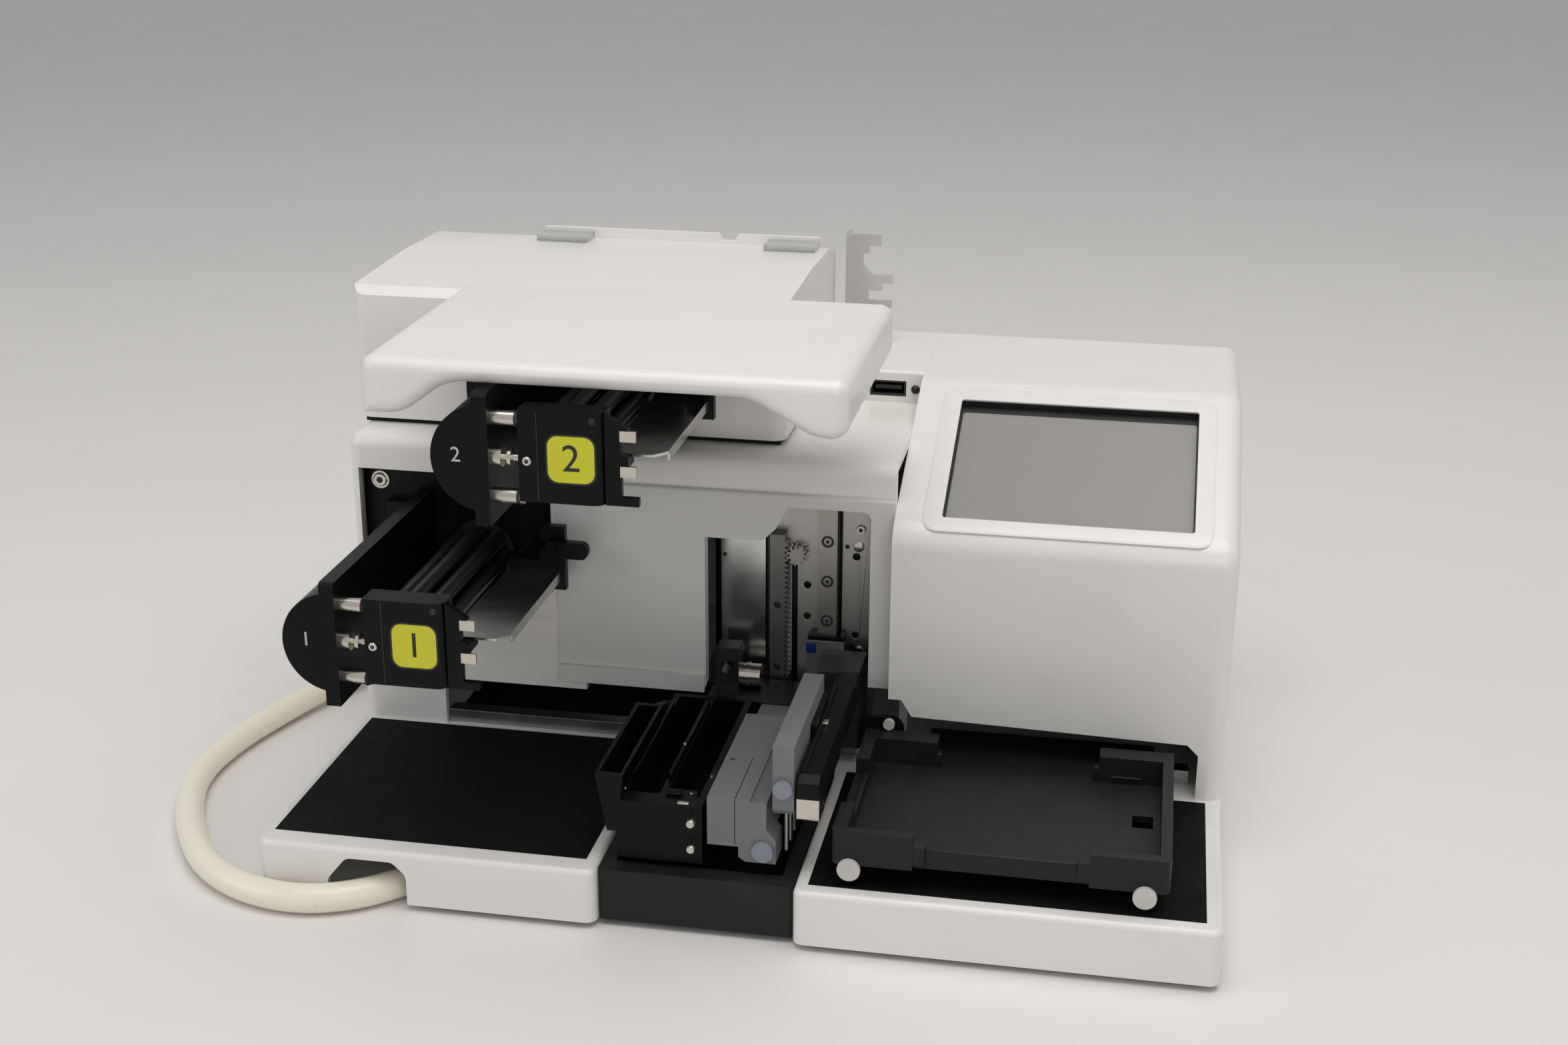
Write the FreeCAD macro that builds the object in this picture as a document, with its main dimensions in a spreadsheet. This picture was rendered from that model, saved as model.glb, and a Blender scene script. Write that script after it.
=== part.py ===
import FreeCAD, Part
import Sketcher
import math
import os
import re

# Microplate reagent dispenser, in millimetres. X runs to the right, Y from the front to the
# back and Z up. The origin is on the bench, under the middle of the footprint.
# Depths in the table below are measured from the front edge of the two trays.

SIZES = {
    # footprint and base mouldings
    "total_wide": 413.3, "total_deep": 307.0, "wall": 3.0, "shell": 4.0,
    "foot_high": 5.0, "foot_radius": 9.0, "foot_inset": 26.0, "skirt_low": 3.0,
    "tray_top": 28.0, "left_tray_edge": -55.0, "right_tray_edge": 30.0, "tray_round": 4.0,
    "pan_thick": 3.0, "pan_front": 42.0, "pan_inset": 4.0,
    "mat_thick": 1.5, "mat_proud": 0.3, "left_mat_inset": 4.2, "left_mat_edge": -61.0,
    "left_mat_front": 10.4, "right_mat_edge": 35.7, "right_mat_inset": 6.9,
    "right_mat_front": 7.0, "mat_back_gap": 2.0,
    "arch_left": 31.65, "arch_right": 67.65, "arch_top": 23.0,
    "well_front": 5.0, "well_top": 27.0, "well_floor": 6.0, "well_gap": 0.3,
    # left housing with the pump bay and the arm opening
    "left_front": 128.7, "left_top": 174.0, "left_end": 54.0, "housing_round": 7.0,
    "bay_left": 5.05, "bay_right": 98.65, "bay_low": 86.0, "bay_top": 157.0,
    "gap_left": 42.35, "gap_step": 113.65, "gap_top": 52.0, "gap_high": 61.0,
    "mouth_left": -34.0, "mouth_right": 43.0, "mouth_low_top": 135.0, "mouth_top": 152.0,
    "tab_right": -1.0, "foot_strip_low": 66.0,
    "cover_thick": 2.5, "cover_low": 57.0, "cover_left": 101.65, "cover_top": 158.0,
    "ledge_top": 66.0, "ledge_proud": 2.0, "bay_recess": 8.3, "bay_plate": 4.0,
    # right housing with the display
    "right_front": 115.0, "right_top": 190.0, "brow": 148.0, "slope_back": 219.0,
    "right_round": 8.0, "brow_round": 14.0, "notch_top": 58.0, "notch_right": 11.65,
    "notch_left_top": 66.0, "notch_left_end": 60.0, "notch_round": 6.0,
    "screen_left": 75.0, "screen_right": 20.15, "screen_start": 11.5, "screen_long": 85.6,
    "screen_thick": 3.0, "screen_lap": 3.0, "rear_thick": 3.3,
    # step with the service socket
    "step_left": 2.0, "step_front": 229.0, "socket_left": 27.0, "socket_wide": 18.0,
    "socket_low": 177.0, "socket_high": 8.0, "socket_deep": 14.0,
    # upper module and its hood
    "module_right": -0.5, "module_front": 147.0, "module_back": 18.0, "module_low": 176.5,
    "module_edge": 2.0, "module_crown": 242.0, "module_tail": 7.0, "module_round": 6.0,
    "gasket_inset": 2.5, "hood_left": 53.65, "hood_right": 48.0, "hood_front": 17.5,
    "hood_top": 243.2, "hood_lip": 233.6, "hood_end": 218.6, "hood_wall": 4.0,
    "hood_round": 7.0, "scoop_round": 22.0, "scoop_left": 70.65, "scoop_left_top": 90.65,
    "scoop_right_top": 8.0, "scoop_right": 34.0,
    "rim_high": 5.0, "rim_thick": 3.0, "rim_gap": 9.0, "clip_long": 26.0, "clip_deep": 16.0,
    # tube bracket beside the upper module
    "bracket_left": 6.0, "bracket_right": 30.0, "bracket_depth": 25.0,
    "bracket_top": 246.0, "bracket_thick": 2.0, "bracket_flange": 10.0,
    # peristaltic pumps
    "pump_left": 32.65, "pump_axis": 118.0, "pump_step_x": 70.6, "pump_step_z": 86.6,
    "pump_front": 11.0, "pump_back": 137.0, "plate_thick": 6.5, "plate_high": 56.2,
    "dome_radius": 22.6, "dome_shift": 3.9, "dome_set_back": 2.0,
    "block_shift": 19.0, "block_wide": 35.4, "block_deep": 12.0, "block_high": 38.6,
    "block_rise": 3.0, "block_round": 5.0, "standoff_radius": 3.1, "standoff_reach": 16.5,
    "standoff_depth": 7.0, "rotor_shift": 31.0, "rotor_end_gap": 0.6, "hub_radius": 15.5,
    "hub_thick": 5.0, "roller_radius": 3.6, "roller_circle": 11.8, "roller_count": 8,
    "shaft_radius": 4.0, "shaft_gap": 0.06, "journal": 6.0,
    "comb_thick": 3.0, "comb_right": 64.0, "shelf_left": 50.0, "shelf_right": 75.0,
    "shelf_front": 30.0, "shelf_back": 113.0, "shelf_thick": 1.2, "shelf_flange": 4.0,
    "rear_comb_right": 77.0, "rear_comb_high": 22.0, "lever_long": 16.0, "lever_high": 8.0,
    "lever_thick": 4.0, "lever_rise": 12.0, "pivot_radius": 1.6, "lever_gap": 0.3,
    # lifting head
    "tower_front": 158.5, "tower_thick": 6.0, "tower_left": -36.0, "tower_right": 41.0,
    "tower_top": 168.0, "rail_width": 9.1, "rail_centre": 19.2, "rail_deep": 6.5,
    "rail_low": 40.0, "rail_top": 164.0, "rail_first_hole": 47.0, "rail_hole_pitch": 20.0,
    "rail_screw_radius": 2.6, "rail_bore_radius": 2.8, "rail_bore_deep": 3.6,
    "guide_left": -31.8, "guide_right": -10.4, "guide_low": 60.0,
    "carriage_width": 18.0, "carriage_low": 50.0, "carriage_high": 30.0,
    "carriage_deep": 8.4, "carriage_play": 0.08, "seal_thick": 2.0,
    "gear_module": 0.8, "rack_right": 0.7, "rack_left": -8.4, "rack_front": 151.6,
    "rack_deep": 6.0, "rack_low": 52.0, "rack_high": 77.0, "pinion_teeth": 11,
    "pinion_height": 119.0, "mesh_gap": 0.2, "lift_travel": 40.0,
    "beam_low": 36.0, "beam_top": 56.0, "beam_front": 122.0, "beam_left": -33.0,
    "beam_right": 39.4, "foot_low": 45.0,
    "arm_front": 12.0, "trough_left": -57.0, "trough_right": -10.6, "trough_low": 30.0,
    "trough_top": 57.0, "trough_wall": 3.0, "trough_floor": 4.0, "flap_top": 68.5,
    "arm_a_left": -8.4, "arm_a_right": 10.0, "arm_a_low": 40.0, "arm_a_top": 62.0,
    "arm_a_back": 96.0, "cheek_right": 17.0, "toe_left": 5.0, "toe_right": 21.0,
    "toe_low": 33.2, "toe_back": 26.0, "arm_b_left": 19.6, "arm_b_right": 28.6,
    "arm_b_low": 56.0, "arm_b_top": 88.0, "arm_b_back": 88.0,
    "arm_c_left": 29.8, "arm_c_right": 39.3, "arm_c_low": 60.0, "arm_c_top": 75.0,
    "tip_low": 54.8, "button_radius": 4.6, "button_proud": 1.8, "button_travel": 1.2,
    "needle_radius": 0.9, "needle_low": 36.5, "needle_pitch": 9.0, "needle_count": 8,
    # plate carrier
    "nest_left": 51.0, "nest_long": 128.6, "nest_front": 14.0, "nest_wide": 86.2,
    "nest_floor": 41.0, "carrier_low": 38.0, "carrier_left": 45.0, "carrier_right": 184.3,
    "carrier_front": 9.0, "carrier_back": 110.0, "corner_top": 53.0, "corner_long": 28.0,
    "corner_wide": 22.0, "rim_top": 46.0, "x_rail_front": 131.0, "x_rail_deep": 8.0,
    "x_rail_top": 34.5, "x_rail_left": 42.65, "x_rail_right": 14.65, "slide_play": 0.1,
    "carrier_travel": 18.0, "stud_radius": 4.9, "stud_height": 36.2,
    # back of the case
    "inlet_x": 56.65, "inlet_z": 70.0, "inlet_wide": 28.0, "inlet_high": 22.0,
    "inlet_deep": 24.0, "switch_x": 22.65, "switch_wide": 14.0, "switch_high": 20.0,
    "rocker_gap": 0.3, "rocker_deep": 5.0, "vent_count": 9, "vent_pitch": 8.0,
    "vent_wide": 3.0, "vent_high": 44.0, "vent_x": 86.65, "vent_z": 96.0,
    # waste hose
    "hose_radius": 6.5, "barb_radius": 5.0, "flange_thick": 1.6,
}

# Some of them are measured inward from a side of the case, so they follow it when it moves.
MEASURED_FROM = {
    "-total_wide / 2 + ": ("arch_left", "arch_right", "bay_left", "bay_right", "gap_left",
                           "gap_step", "cover_left", "hood_left", "scoop_left",
                           "scoop_left_top", "pump_left", "x_rail_left", "vent_x"),
    "total_wide / 2 - ": ("notch_right", "screen_right", "x_rail_right", "inlet_x",
                          "switch_x"),
    "total_deep - ": ("module_back", "bracket_depth"),
    "module_crown - ": ("module_edge", "module_tail"),
}

doc = FreeCAD.newDocument("dispenser")
sheet = doc.addObject("Spreadsheet::Sheet", "Sizes")
for row, (alias, number) in enumerate(SIZES.items(), start=1):
    sheet.set("A%d" % row, alias)
    sheet.setAlias("B%d" % row, alias)
    formula = [start for start, names in MEASURED_FROM.items() if alias in names]
    sheet.set("B%d" % row, "=%s%s" % (formula[0], number) if formula else str(number))
doc.recompute()
for alias in SIZES:
    SIZES[alias] = float(sheet.get(alias))

nodes = {}


def linked(text):
    """Turn plain size names into references to the sheet."""
    return re.sub(r"[a-z][a-z_]+",
                  lambda word: "Sizes." + word.group(0) if word.group(0) in SIZES else word.group(0),
                  str(text))


def deep(text):
    """A depth from the front edge of the trays, as a Y coordinate."""
    return "(%s) - total_deep / 2" % text


def value(text):
    """The number that an expression over the sheet gives now."""
    found = sheet.evalExpression(linked(text))
    return float(getattr(found, "Value", found))


def keep(name, thing):
    """Name a finished sub-part."""
    thing.Label = name
    nodes[name] = thing
    return thing


def block(name, x, y, z):
    """A box between two X places, two depths and two heights."""
    box = doc.addObject("Part::Box", name)
    places = [x, [deep(edge) for edge in y], z]
    for axis, length, (low, high) in zip("xyz", ("Length", "Width", "Height"), places):
        box.setExpression("Placement.Base." + axis, linked(low))
        box.setExpression(length, linked("(%s) - (%s)" % (high, low)))
    return box


TURNS = {"x": FreeCAD.Rotation(FreeCAD.Vector(0, 1, 0), 90),
         "y": FreeCAD.Rotation(FreeCAD.Vector(1, 0, 0), -90),
         "z": FreeCAD.Rotation()}


def rod(name, axis, radius, centre, ends):
    """A round bar along an axis; centre gives its two other places, ends its two ends."""
    bar = doc.addObject("Part::Cylinder", name)
    bar.Placement = FreeCAD.Placement(FreeCAD.Vector(), TURNS[axis])
    others = [letter for letter in "xyz" if letter != axis]
    for letter, text in list(zip(others, centre)) + [(axis, ends[0])]:
        place = deep(text) if letter == "y" else text
        bar.setExpression("Placement.Base." + letter, linked(place))
    bar.setExpression("Radius", linked(radius))
    bar.setExpression("Height", linked("(%s) - (%s)" % (ends[1], ends[0])))
    return bar


def joined(name, parts):
    """Several overlapping or touching solids as one."""
    fuse = doc.addObject("Part::MultiFuse", name)
    fuse.Shapes = parts
    return fuse


def minus(name, base, tools):
    """A solid with others cut out of it."""
    cut = doc.addObject("Part::Cut", name)
    cut.Base = base
    cut.Tool = tools[0] if len(tools) == 1 else group(name + "_cutters", tools)
    return cut


def group(name, parts):
    """Separate solids kept together."""
    compound = doc.addObject("Part::Compound", name)
    compound.Links = parts
    return compound


PLANES = {"front": ("XZ_Plane", (True, False), -1), "side": ("YZ_Plane", (False, True), 1),
          "top": ("XY_Plane", (True, True), 1)}


class Moulding:
    """A body made from flat outlines that are extruded or cut.

    Outlines lie in the front view as (x, height), in the side view as (depth, height) or in
    the top view as (x, depth), and reach from one place to another across that view.
    """

    def __init__(self, name):
        self.name = name
        self.body = doc.addObject("PartDesign::Body", name)
        self.count = 0

    def sketch(self, view, start, end):
        role, _, sign = PLANES[view]
        self.count += 1
        plane = [item for item in self.body.Origin.OriginFeatures if item.Role == role][0]
        sketch = self.body.newObject("Sketcher::SketchObject", "%s_s%d" % (self.name, self.count))
        sketch.AttachmentSupport = [(plane, "")]
        sketch.MapMode = "FlatFace"
        if view == "front":
            sketch.setExpression("AttachmentOffset.Base.z", linked("-(%s)" % deep(end)))
        else:
            sketch.setExpression("AttachmentOffset.Base.z", linked(start))
        return sketch

    def bind_point(self, sketch, view, geometry, point, place):
        across, up = place
        if view == "side":
            across = deep(across)
        if view == "top":
            up = deep(up)
        for kind, text in (("DistanceX", across), ("DistanceY", up)):
            index = sketch.addConstraint(
                Sketcher.Constraint(kind, -1, 1, geometry, point, value(text)))
            sketch.setExpression("Constraints[%d]" % index, linked(text))

    def polygon(self, view, points, start, end):
        sketch = self.sketch(view, start, end)
        flat = []
        for across, up in points:
            flat.append(FreeCAD.Vector(value(deep(across) if view == "side" else across),
                                       value(deep(up) if view == "top" else up), 0))
        total = len(flat)
        for index in range(total):
            sketch.addGeometry(Part.LineSegment(flat[index], flat[(index + 1) % total]), False)
        for index in range(total):
            sketch.addConstraint(Sketcher.Constraint(
                "Coincident", index, 2, (index + 1) % total, 1))
        for index, place in enumerate(points):
            self.bind_point(sketch, view, index, 1, place)
        return sketch

    def circles(self, view, centres, radius, start, end):
        sketch = self.sketch(view, start, end)
        for centre in centres:
            geometry = sketch.addGeometry(
                Part.Circle(FreeCAD.Vector(), FreeCAD.Vector(0, 0, 1), value(radius)), False)
            self.bind_point(sketch, view, geometry, 3, centre)
            index = sketch.addConstraint(Sketcher.Constraint("Radius", geometry, value(radius)))
            sketch.setExpression("Constraints[%d]" % index, linked(radius))
        return sketch

    def feature(self, kind, sketch, start, end):
        feature = self.body.newObject("PartDesign::" + kind, "%s_f%d" % (self.name, self.count))
        feature.Profile = sketch
        feature.setExpression("Length", linked("(%s) - (%s)" % (end, start)))
        if kind == "Pocket":
            feature.Reversed = True
        doc.recompute()
        return feature

    def pad(self, view, points, start, end):
        self.feature("Pad", self.polygon(view, points, start, end), start, end)
        return self

    def cut(self, view, points, start, end):
        before = self.body.Shape.Volume
        self.feature("Pocket", self.polygon(view, points, start, end), start, end)
        if self.body.Shape.Volume > before - 1e-3:
            raise ValueError("a cut in %s removes nothing" % self.name)
        return self

    def bore(self, view, centres, radius, start, end):
        before = self.body.Shape.Volume
        self.feature("Pocket", self.circles(view, centres, radius, start, end), start, end)
        if self.body.Shape.Volume > before - 1e-3:
            raise ValueError("a bore in %s removes nothing" % self.name)
        return self

    def boss(self, view, centres, radius, start, end):
        self.feature("Pad", self.circles(view, centres, radius, start, end), start, end)
        return self

    def round(self, radius, along, *places, kind="Fillet"):
        """Round the straight edges along an axis that pass through places.

        Each place names coordinates, as x=, y= (a depth) or z=, that the edge's middle has.
        """
        shape = self.body.Shape
        wanted = []
        for number, edge in enumerate(shape.Edges, start=1):
            run = edge.Vertexes[-1].Point - edge.Vertexes[0].Point
            if run.Length < 0.01 or run.Length < edge.Length * 0.9999:
                continue
            if abs(getattr(run, along)) < run.Length * 0.99:
                continue
            middle = edge.Vertexes[0].Point + run * 0.5
            for place in places:
                goals = {axis: value(deep(text) if axis == "y" else text)
                         for axis, text in place.items()}
                if all(abs(getattr(middle, axis) - goal) < 0.02 for axis, goal in goals.items()):
                    wanted.append("Edge%d" % number)
                    break
        if not wanted:
            raise ValueError("no edge to round in %s" % self.name)
        self.count += 1
        solid = self.body.Tip
        feature = self.body.newObject("PartDesign::" + kind, "%s_r%d" % (self.name, self.count))
        feature.Base = (solid, wanted)
        feature.setExpression("Radius" if kind == "Fillet" else "Size", linked(radius))
        doc.recompute()
        return self

    def done(self, name=None):
        return keep(name or self.name, self.body)


LEFT = "-total_wide / 2"
RIGHT = "total_wide / 2"


def box_outline(x0, x1, z0, z1):
    return [(x0, z0), (x1, z0), (x1, z1), (x0, z1)]


# Base mouldings, mats, feet and the black well between the trays.

def tray(name, x0, x1, front, mat_x0, mat_x1, mat_front, mat_back, outer):
    piece = Moulding(name)
    piece.pad("top", box_outline(x0, x1, front, "total_deep"), "skirt_low", "tray_top")
    piece.round("tray_round", "z", {"x": x0, "y": front}, {"x": x1, "y": front})
    piece.round("tray_round", "z", {"x": outer, "y": "total_deep"})
    piece.cut("top", box_outline("%s + wall" % x0, "%s - wall" % x1, "%s + wall" % front,
                                 "total_deep - wall"), "skirt_low", "tray_top - wall")
    piece.cut("top", box_outline(mat_x0, mat_x1, mat_front, mat_back),
              "tray_top - mat_thick + mat_proud", "tray_top")
    # the wall beside the well stops above the pan, which runs on under both trays
    inner = "%s - wall" % x1 if outer == LEFT else x0
    piece.cut("top", box_outline(inner, inner + " + wall", "left_front + 2",
                                 "total_deep - wall"), "skirt_low", "foot_high + pan_thick")
    return piece


def base():
    left = tray("left_tray", LEFT, "left_tray_edge", "0", LEFT + " + left_mat_inset",
                "left_mat_edge", "left_mat_front", "left_front - mat_back_gap", LEFT)
    arch = [("arch_left", "skirt_low"), ("arch_right", "skirt_low"),
            ("arch_right", "arch_top - 6"), ("arch_right - 6", "arch_top"),
            ("arch_left + 9", "arch_top"), ("arch_left", "arch_top - 11")]
    left.cut("front", arch, "-1", "wall + 1")
    left.round("5", "y", {"x": "arch_right", "z": "arch_top - 6"},
               {"x": "arch_right - 6", "z": "arch_top"}, {"x": "arch_left + 9", "z": "arch_top"},
               {"x": "arch_left", "z": "arch_top - 11"})
    left.done()
    tray("right_tray", "right_tray_edge", RIGHT, "0", "right_mat_edge",
         RIGHT + " - right_mat_inset", "right_mat_front", "right_front - mat_back_gap",
         RIGHT).done()
    gap = "left_tray_edge + well_gap", "right_tray_edge - well_gap"
    mats = [block("mat", across, along,
                  ("tray_top - mat_thick + mat_proud", "tray_top + mat_proud"))
            for across, along in (
                ((LEFT + " + left_mat_inset", "left_mat_edge"),
                 ("left_mat_front", "left_front - mat_back_gap")),
                (("right_mat_edge", RIGHT + " - right_mat_inset"),
                 ("right_mat_front", "right_front - mat_back_gap")))]
    keep("tray_mats", group("tray_mats", mats))
    well = Moulding("centre_well")
    well.pad("top", box_outline(gap[0], gap[1], "well_front", "left_front - 1"),
             "skirt_low", "well_top")
    well.cut("top", box_outline(gap[0] + " + 2 * wall", gap[1] + " - 2 * wall",
                                "well_front + 3 * wall", "left_front - 1 - 2 * wall"),
             "skirt_low + well_floor", "well_top")
    well.round("2", "z", {"x": gap[0], "y": "well_front"}, {"x": gap[1], "y": "well_front"})
    well.done()
    pan = Moulding("base_pan")
    pan.pad("top", box_outline(LEFT + " + pan_inset", RIGHT + " - pan_inset",
                               "left_front + 2", "total_deep - pan_inset"),
            "foot_high", "foot_high + pan_thick")
    for x0, x1 in ((LEFT + " + pan_inset", "left_tray_edge - pan_inset"),
                   ("right_tray_edge + pan_inset", RIGHT + " - pan_inset")):
        pan.pad("top", box_outline(x0, x1, "pan_front", "left_front + 2"),
                "foot_high", "foot_high + pan_thick")
    # posts on the pan carry the trays, with a foot under each
    centres = [("%s(total_wide / 2 - foot_inset)" % side, where) for side in ("-", "")
               for where in ("pan_front + 12", "total_deep - foot_inset")]
    pan.boss("top", centres, "foot_radius / 2", "foot_high + pan_thick", "tray_top - wall")
    pan.done()
    feet = [rod("foot", "z", "foot_radius", centre, ("0", "foot_high")) for centre in centres]
    keep("rubber_feet", group("rubber_feet", feet))


base()


# Left housing, its raised front cover and the recessed bay panel.

def left_housing():
    housing = Moulding("pump_housing")
    housing.pad("front", box_outline(LEFT, "left_end", "tray_top", "left_top"),
                "left_front", "total_deep - rear_thick")
    housing.round("housing_round", "z", {"x": LEFT, "y": "left_front"})
    housing.round("housing_round", "x", {"y": "left_front", "z": "left_top"})
    housing.cut("front", box_outline(LEFT + " + shell", "left_end", "tray_top",
                                     "left_top - shell"),
                "left_front + shell", "total_deep - rear_thick")
    housing.cut("front", box_outline("bay_left", "bay_right", "bay_low", "bay_top"),
                "left_front", "left_front + shell")
    mouth = [("gap_left", "tray_top"), ("mouth_right", "tray_top"),
             ("mouth_right", "mouth_top"), ("tab_right + 6", "mouth_top"),
             ("tab_right", "mouth_low_top + 6"), ("tab_right - 6", "mouth_low_top"),
             ("mouth_left", "mouth_low_top"), ("mouth_left", "gap_high"),
             ("gap_step", "gap_high"), ("gap_step", "gap_top"), ("gap_left", "gap_top")]
    housing.cut("front", mouth, "left_front", "left_front + shell")
    housing.cut("front", box_outline("mouth_right", "left_end", "tray_top", "foot_strip_low"),
                "left_front", "left_front + shell")
    housing.round("4", "y", {"x": "mouth_right", "z": "mouth_top"})
    cover = Moulding("front_cover")
    cover.pad("front", [("cover_left", "cover_low"), ("mouth_left", "cover_low"),
                        ("mouth_left", "mouth_low_top"), ("tab_right - 6", "mouth_low_top"),
                        ("tab_right", "mouth_low_top + 6"), ("tab_right + 6", "mouth_top"),
                        ("mouth_right", "mouth_top"), ("mouth_right", "cover_low + 9"),
                        ("left_end", "cover_low + 9"), ("left_end", "cover_top"),
                        ("cover_left", "cover_top")],
              "left_front - cover_thick", "left_front")
    cover.round("4", "y", {"x": "mouth_left", "z": "cover_low"},
                {"x": "mouth_right", "z": "mouth_top"})
    cover.round("1.5", "x", {"y": "left_front - cover_thick", "z": "cover_top"})
    cover.pad("front", box_outline("cover_left + 0.5", "mouth_left - 0.5", "cover_low + 0.5",
                                   "ledge_top"),
              "left_front - cover_thick - ledge_proud", "left_front - cover_thick")
    cover.done()
    panel = Moulding("bay_panel")
    panel.pad("front", box_outline("bay_left - 1", "bay_right + 2", "bay_low - 2",
                                   "bay_top + 1"),
              "left_front + bay_recess", "left_front + bay_recess + bay_plate")
    # flanges above and below carry the panel behind the front wall
    for low in ("bay_low - 2", "bay_top - 1"):
        panel.pad("front", box_outline("bay_left - 1", "bay_right + 2", low, low + " + 2"),
                  "left_front + shell", "left_front + bay_recess")
    panel.bore("front", [("pump_left + rotor_shift", "pump_axis")], "shaft_radius + shaft_gap",
               "left_front + bay_recess", "left_front + bay_recess + bay_plate")
    panel.done("pri_bay_panel")
    return housing


LEFT_HOUSING = left_housing()


# Right housing with the sloping display.

RUN = "((slope_back - right_front) / sqrt((slope_back - right_front) ^ 2 + (right_top - brow) ^ 2))"
RISE = "((right_top - brow) / sqrt((slope_back - right_front) ^ 2 + (right_top - brow) ^ 2))"


def on_slope(along, inward):
    """A point in the side view, measured along the slope and square into it."""
    return ("right_front + (%s) * %s + (%s) * %s" % (along, RUN, inward, RISE),
            "brow + (%s) * %s - (%s) * %s" % (along, RISE, inward, RUN))


def slope_bar(start, end, near, far):
    return [on_slope(start, near), on_slope(end, near), on_slope(end, far), on_slope(start, far)]


def right_housing():
    back = "total_deep - rear_thick"
    housing = Moulding("display_housing")
    housing.pad("side", [("right_front", "tray_top"), (back, "tray_top"), (back, "right_top"),
                         ("slope_back", "right_top"), ("right_front", "brow")],
                "left_end", RIGHT)
    housing.round("brow_round", "x", {"y": "right_front", "z": "brow"},
                  {"y": "slope_back", "z": "right_top"})
    housing.cut("side", [("right_front + shell", "tray_top"), (back, "tray_top"),
                         (back, "right_top - shell"),
                         ("slope_back + 1", "right_top - shell"),
                         ("right_front + shell", "brow - shell + 1")],
                "left_end + shell", RIGHT + " - shell")
    housing.round("right_round", "z", {"x": RIGHT, "y": "right_front"})
    housing.cut("front", [("left_end", "tray_top"), ("notch_right", "tray_top"),
                          ("notch_right", "notch_top - 8"), ("notch_right - 5", "notch_top - 3"),
                          ("notch_left_end + 5", "notch_top"),
                          ("notch_left_end", "notch_left_top"), ("left_end", "notch_left_top")],
                "right_front", "right_front + shell")
    housing.cut("side", [("right_front", "tray_top"), ("left_front + 30", "tray_top"),
                         ("left_front + 30", "notch_left_top"),
                         ("right_front", "notch_left_top")],
                "left_end", "left_end + shell")
    housing.cut("side", slope_bar("screen_start", "screen_start + screen_long", "-1",
                                  "shell + 1"), "screen_left", "screen_right")
    # a flat pocket behind the window takes the screen's lap
    housing.cut("side", slope_bar("screen_start - 2 * screen_lap",
                                  "screen_start + screen_long + 2 * screen_lap",
                                  "shell", "shell + screen_thick + 1"),
                "screen_left - 2 * screen_lap", "screen_right + 2 * screen_lap")
    housing.done()
    screen = Moulding("touch_screen")
    screen.pad("side", slope_bar("screen_start - screen_lap",
                                 "screen_start + screen_long + screen_lap",
                                 "shell", "shell + screen_thick"),
               "screen_left - screen_lap", "screen_right + screen_lap")
    screen.done()


right_housing()


# Step behind the left housing's top, with the service socket and its screw.

def socket_step(left):
    step = left
    step.pad("front", box_outline("step_left", "left_end", "left_top", "right_top"),
             "step_front", "total_deep - rear_thick")
    step.round("2", "x", {"y": "step_front", "z": "right_top"})
    step.cut("front", box_outline("socket_left", "socket_left + socket_wide", "socket_low",
                                  "socket_low + socket_high"),
             "step_front", "step_front + socket_deep")
    step.done()
    socket = Moulding("service_socket")
    socket.pad("front", box_outline("socket_left + 0.2", "socket_left + socket_wide - 0.2",
                                    "socket_low + 0.2", "socket_low + socket_high - 0.2"),
               "step_front + 0.8", "step_front + socket_deep")
    socket.cut("front", box_outline("socket_left + 1.2", "socket_left + socket_wide - 1.2",
                                    "socket_low + 1.2", "socket_low + socket_high - 1.2"),
               "step_front + 0.8", "step_front + socket_deep - 3")
    socket.pad("front", box_outline("socket_left + 2.4", "socket_left + socket_wide - 2.4",
                                    "socket_low + 3.1", "socket_low + socket_high - 2.9"),
               "step_front + 2.4", "step_front + socket_deep - 3")
    socket.done()
    screw = doc.addObject("Part::Sphere", "socket_screw_ball")
    screw.setExpression("Radius", linked("2.2"))
    screw.setExpression("Placement.Base.x", linked("socket_left + socket_wide + 4.6"))
    screw.setExpression("Placement.Base.y", linked(deep("step_front")))
    screw.setExpression("Placement.Base.z", linked("socket_low + socket_high / 2"))
    front_half = block("socket_screw_half", ("socket_left", "left_end + 20"),
                       ("step_front - 5", "step_front"), ("left_top", "right_top"))
    head = doc.addObject("Part::Common", "socket_screw")
    head.Base = screw
    head.Tool = front_half
    return head


SOCKET_SCREW = socket_step(LEFT_HOUSING)


# Upper module, its gasket, hood, bezel and rear rim.

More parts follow.
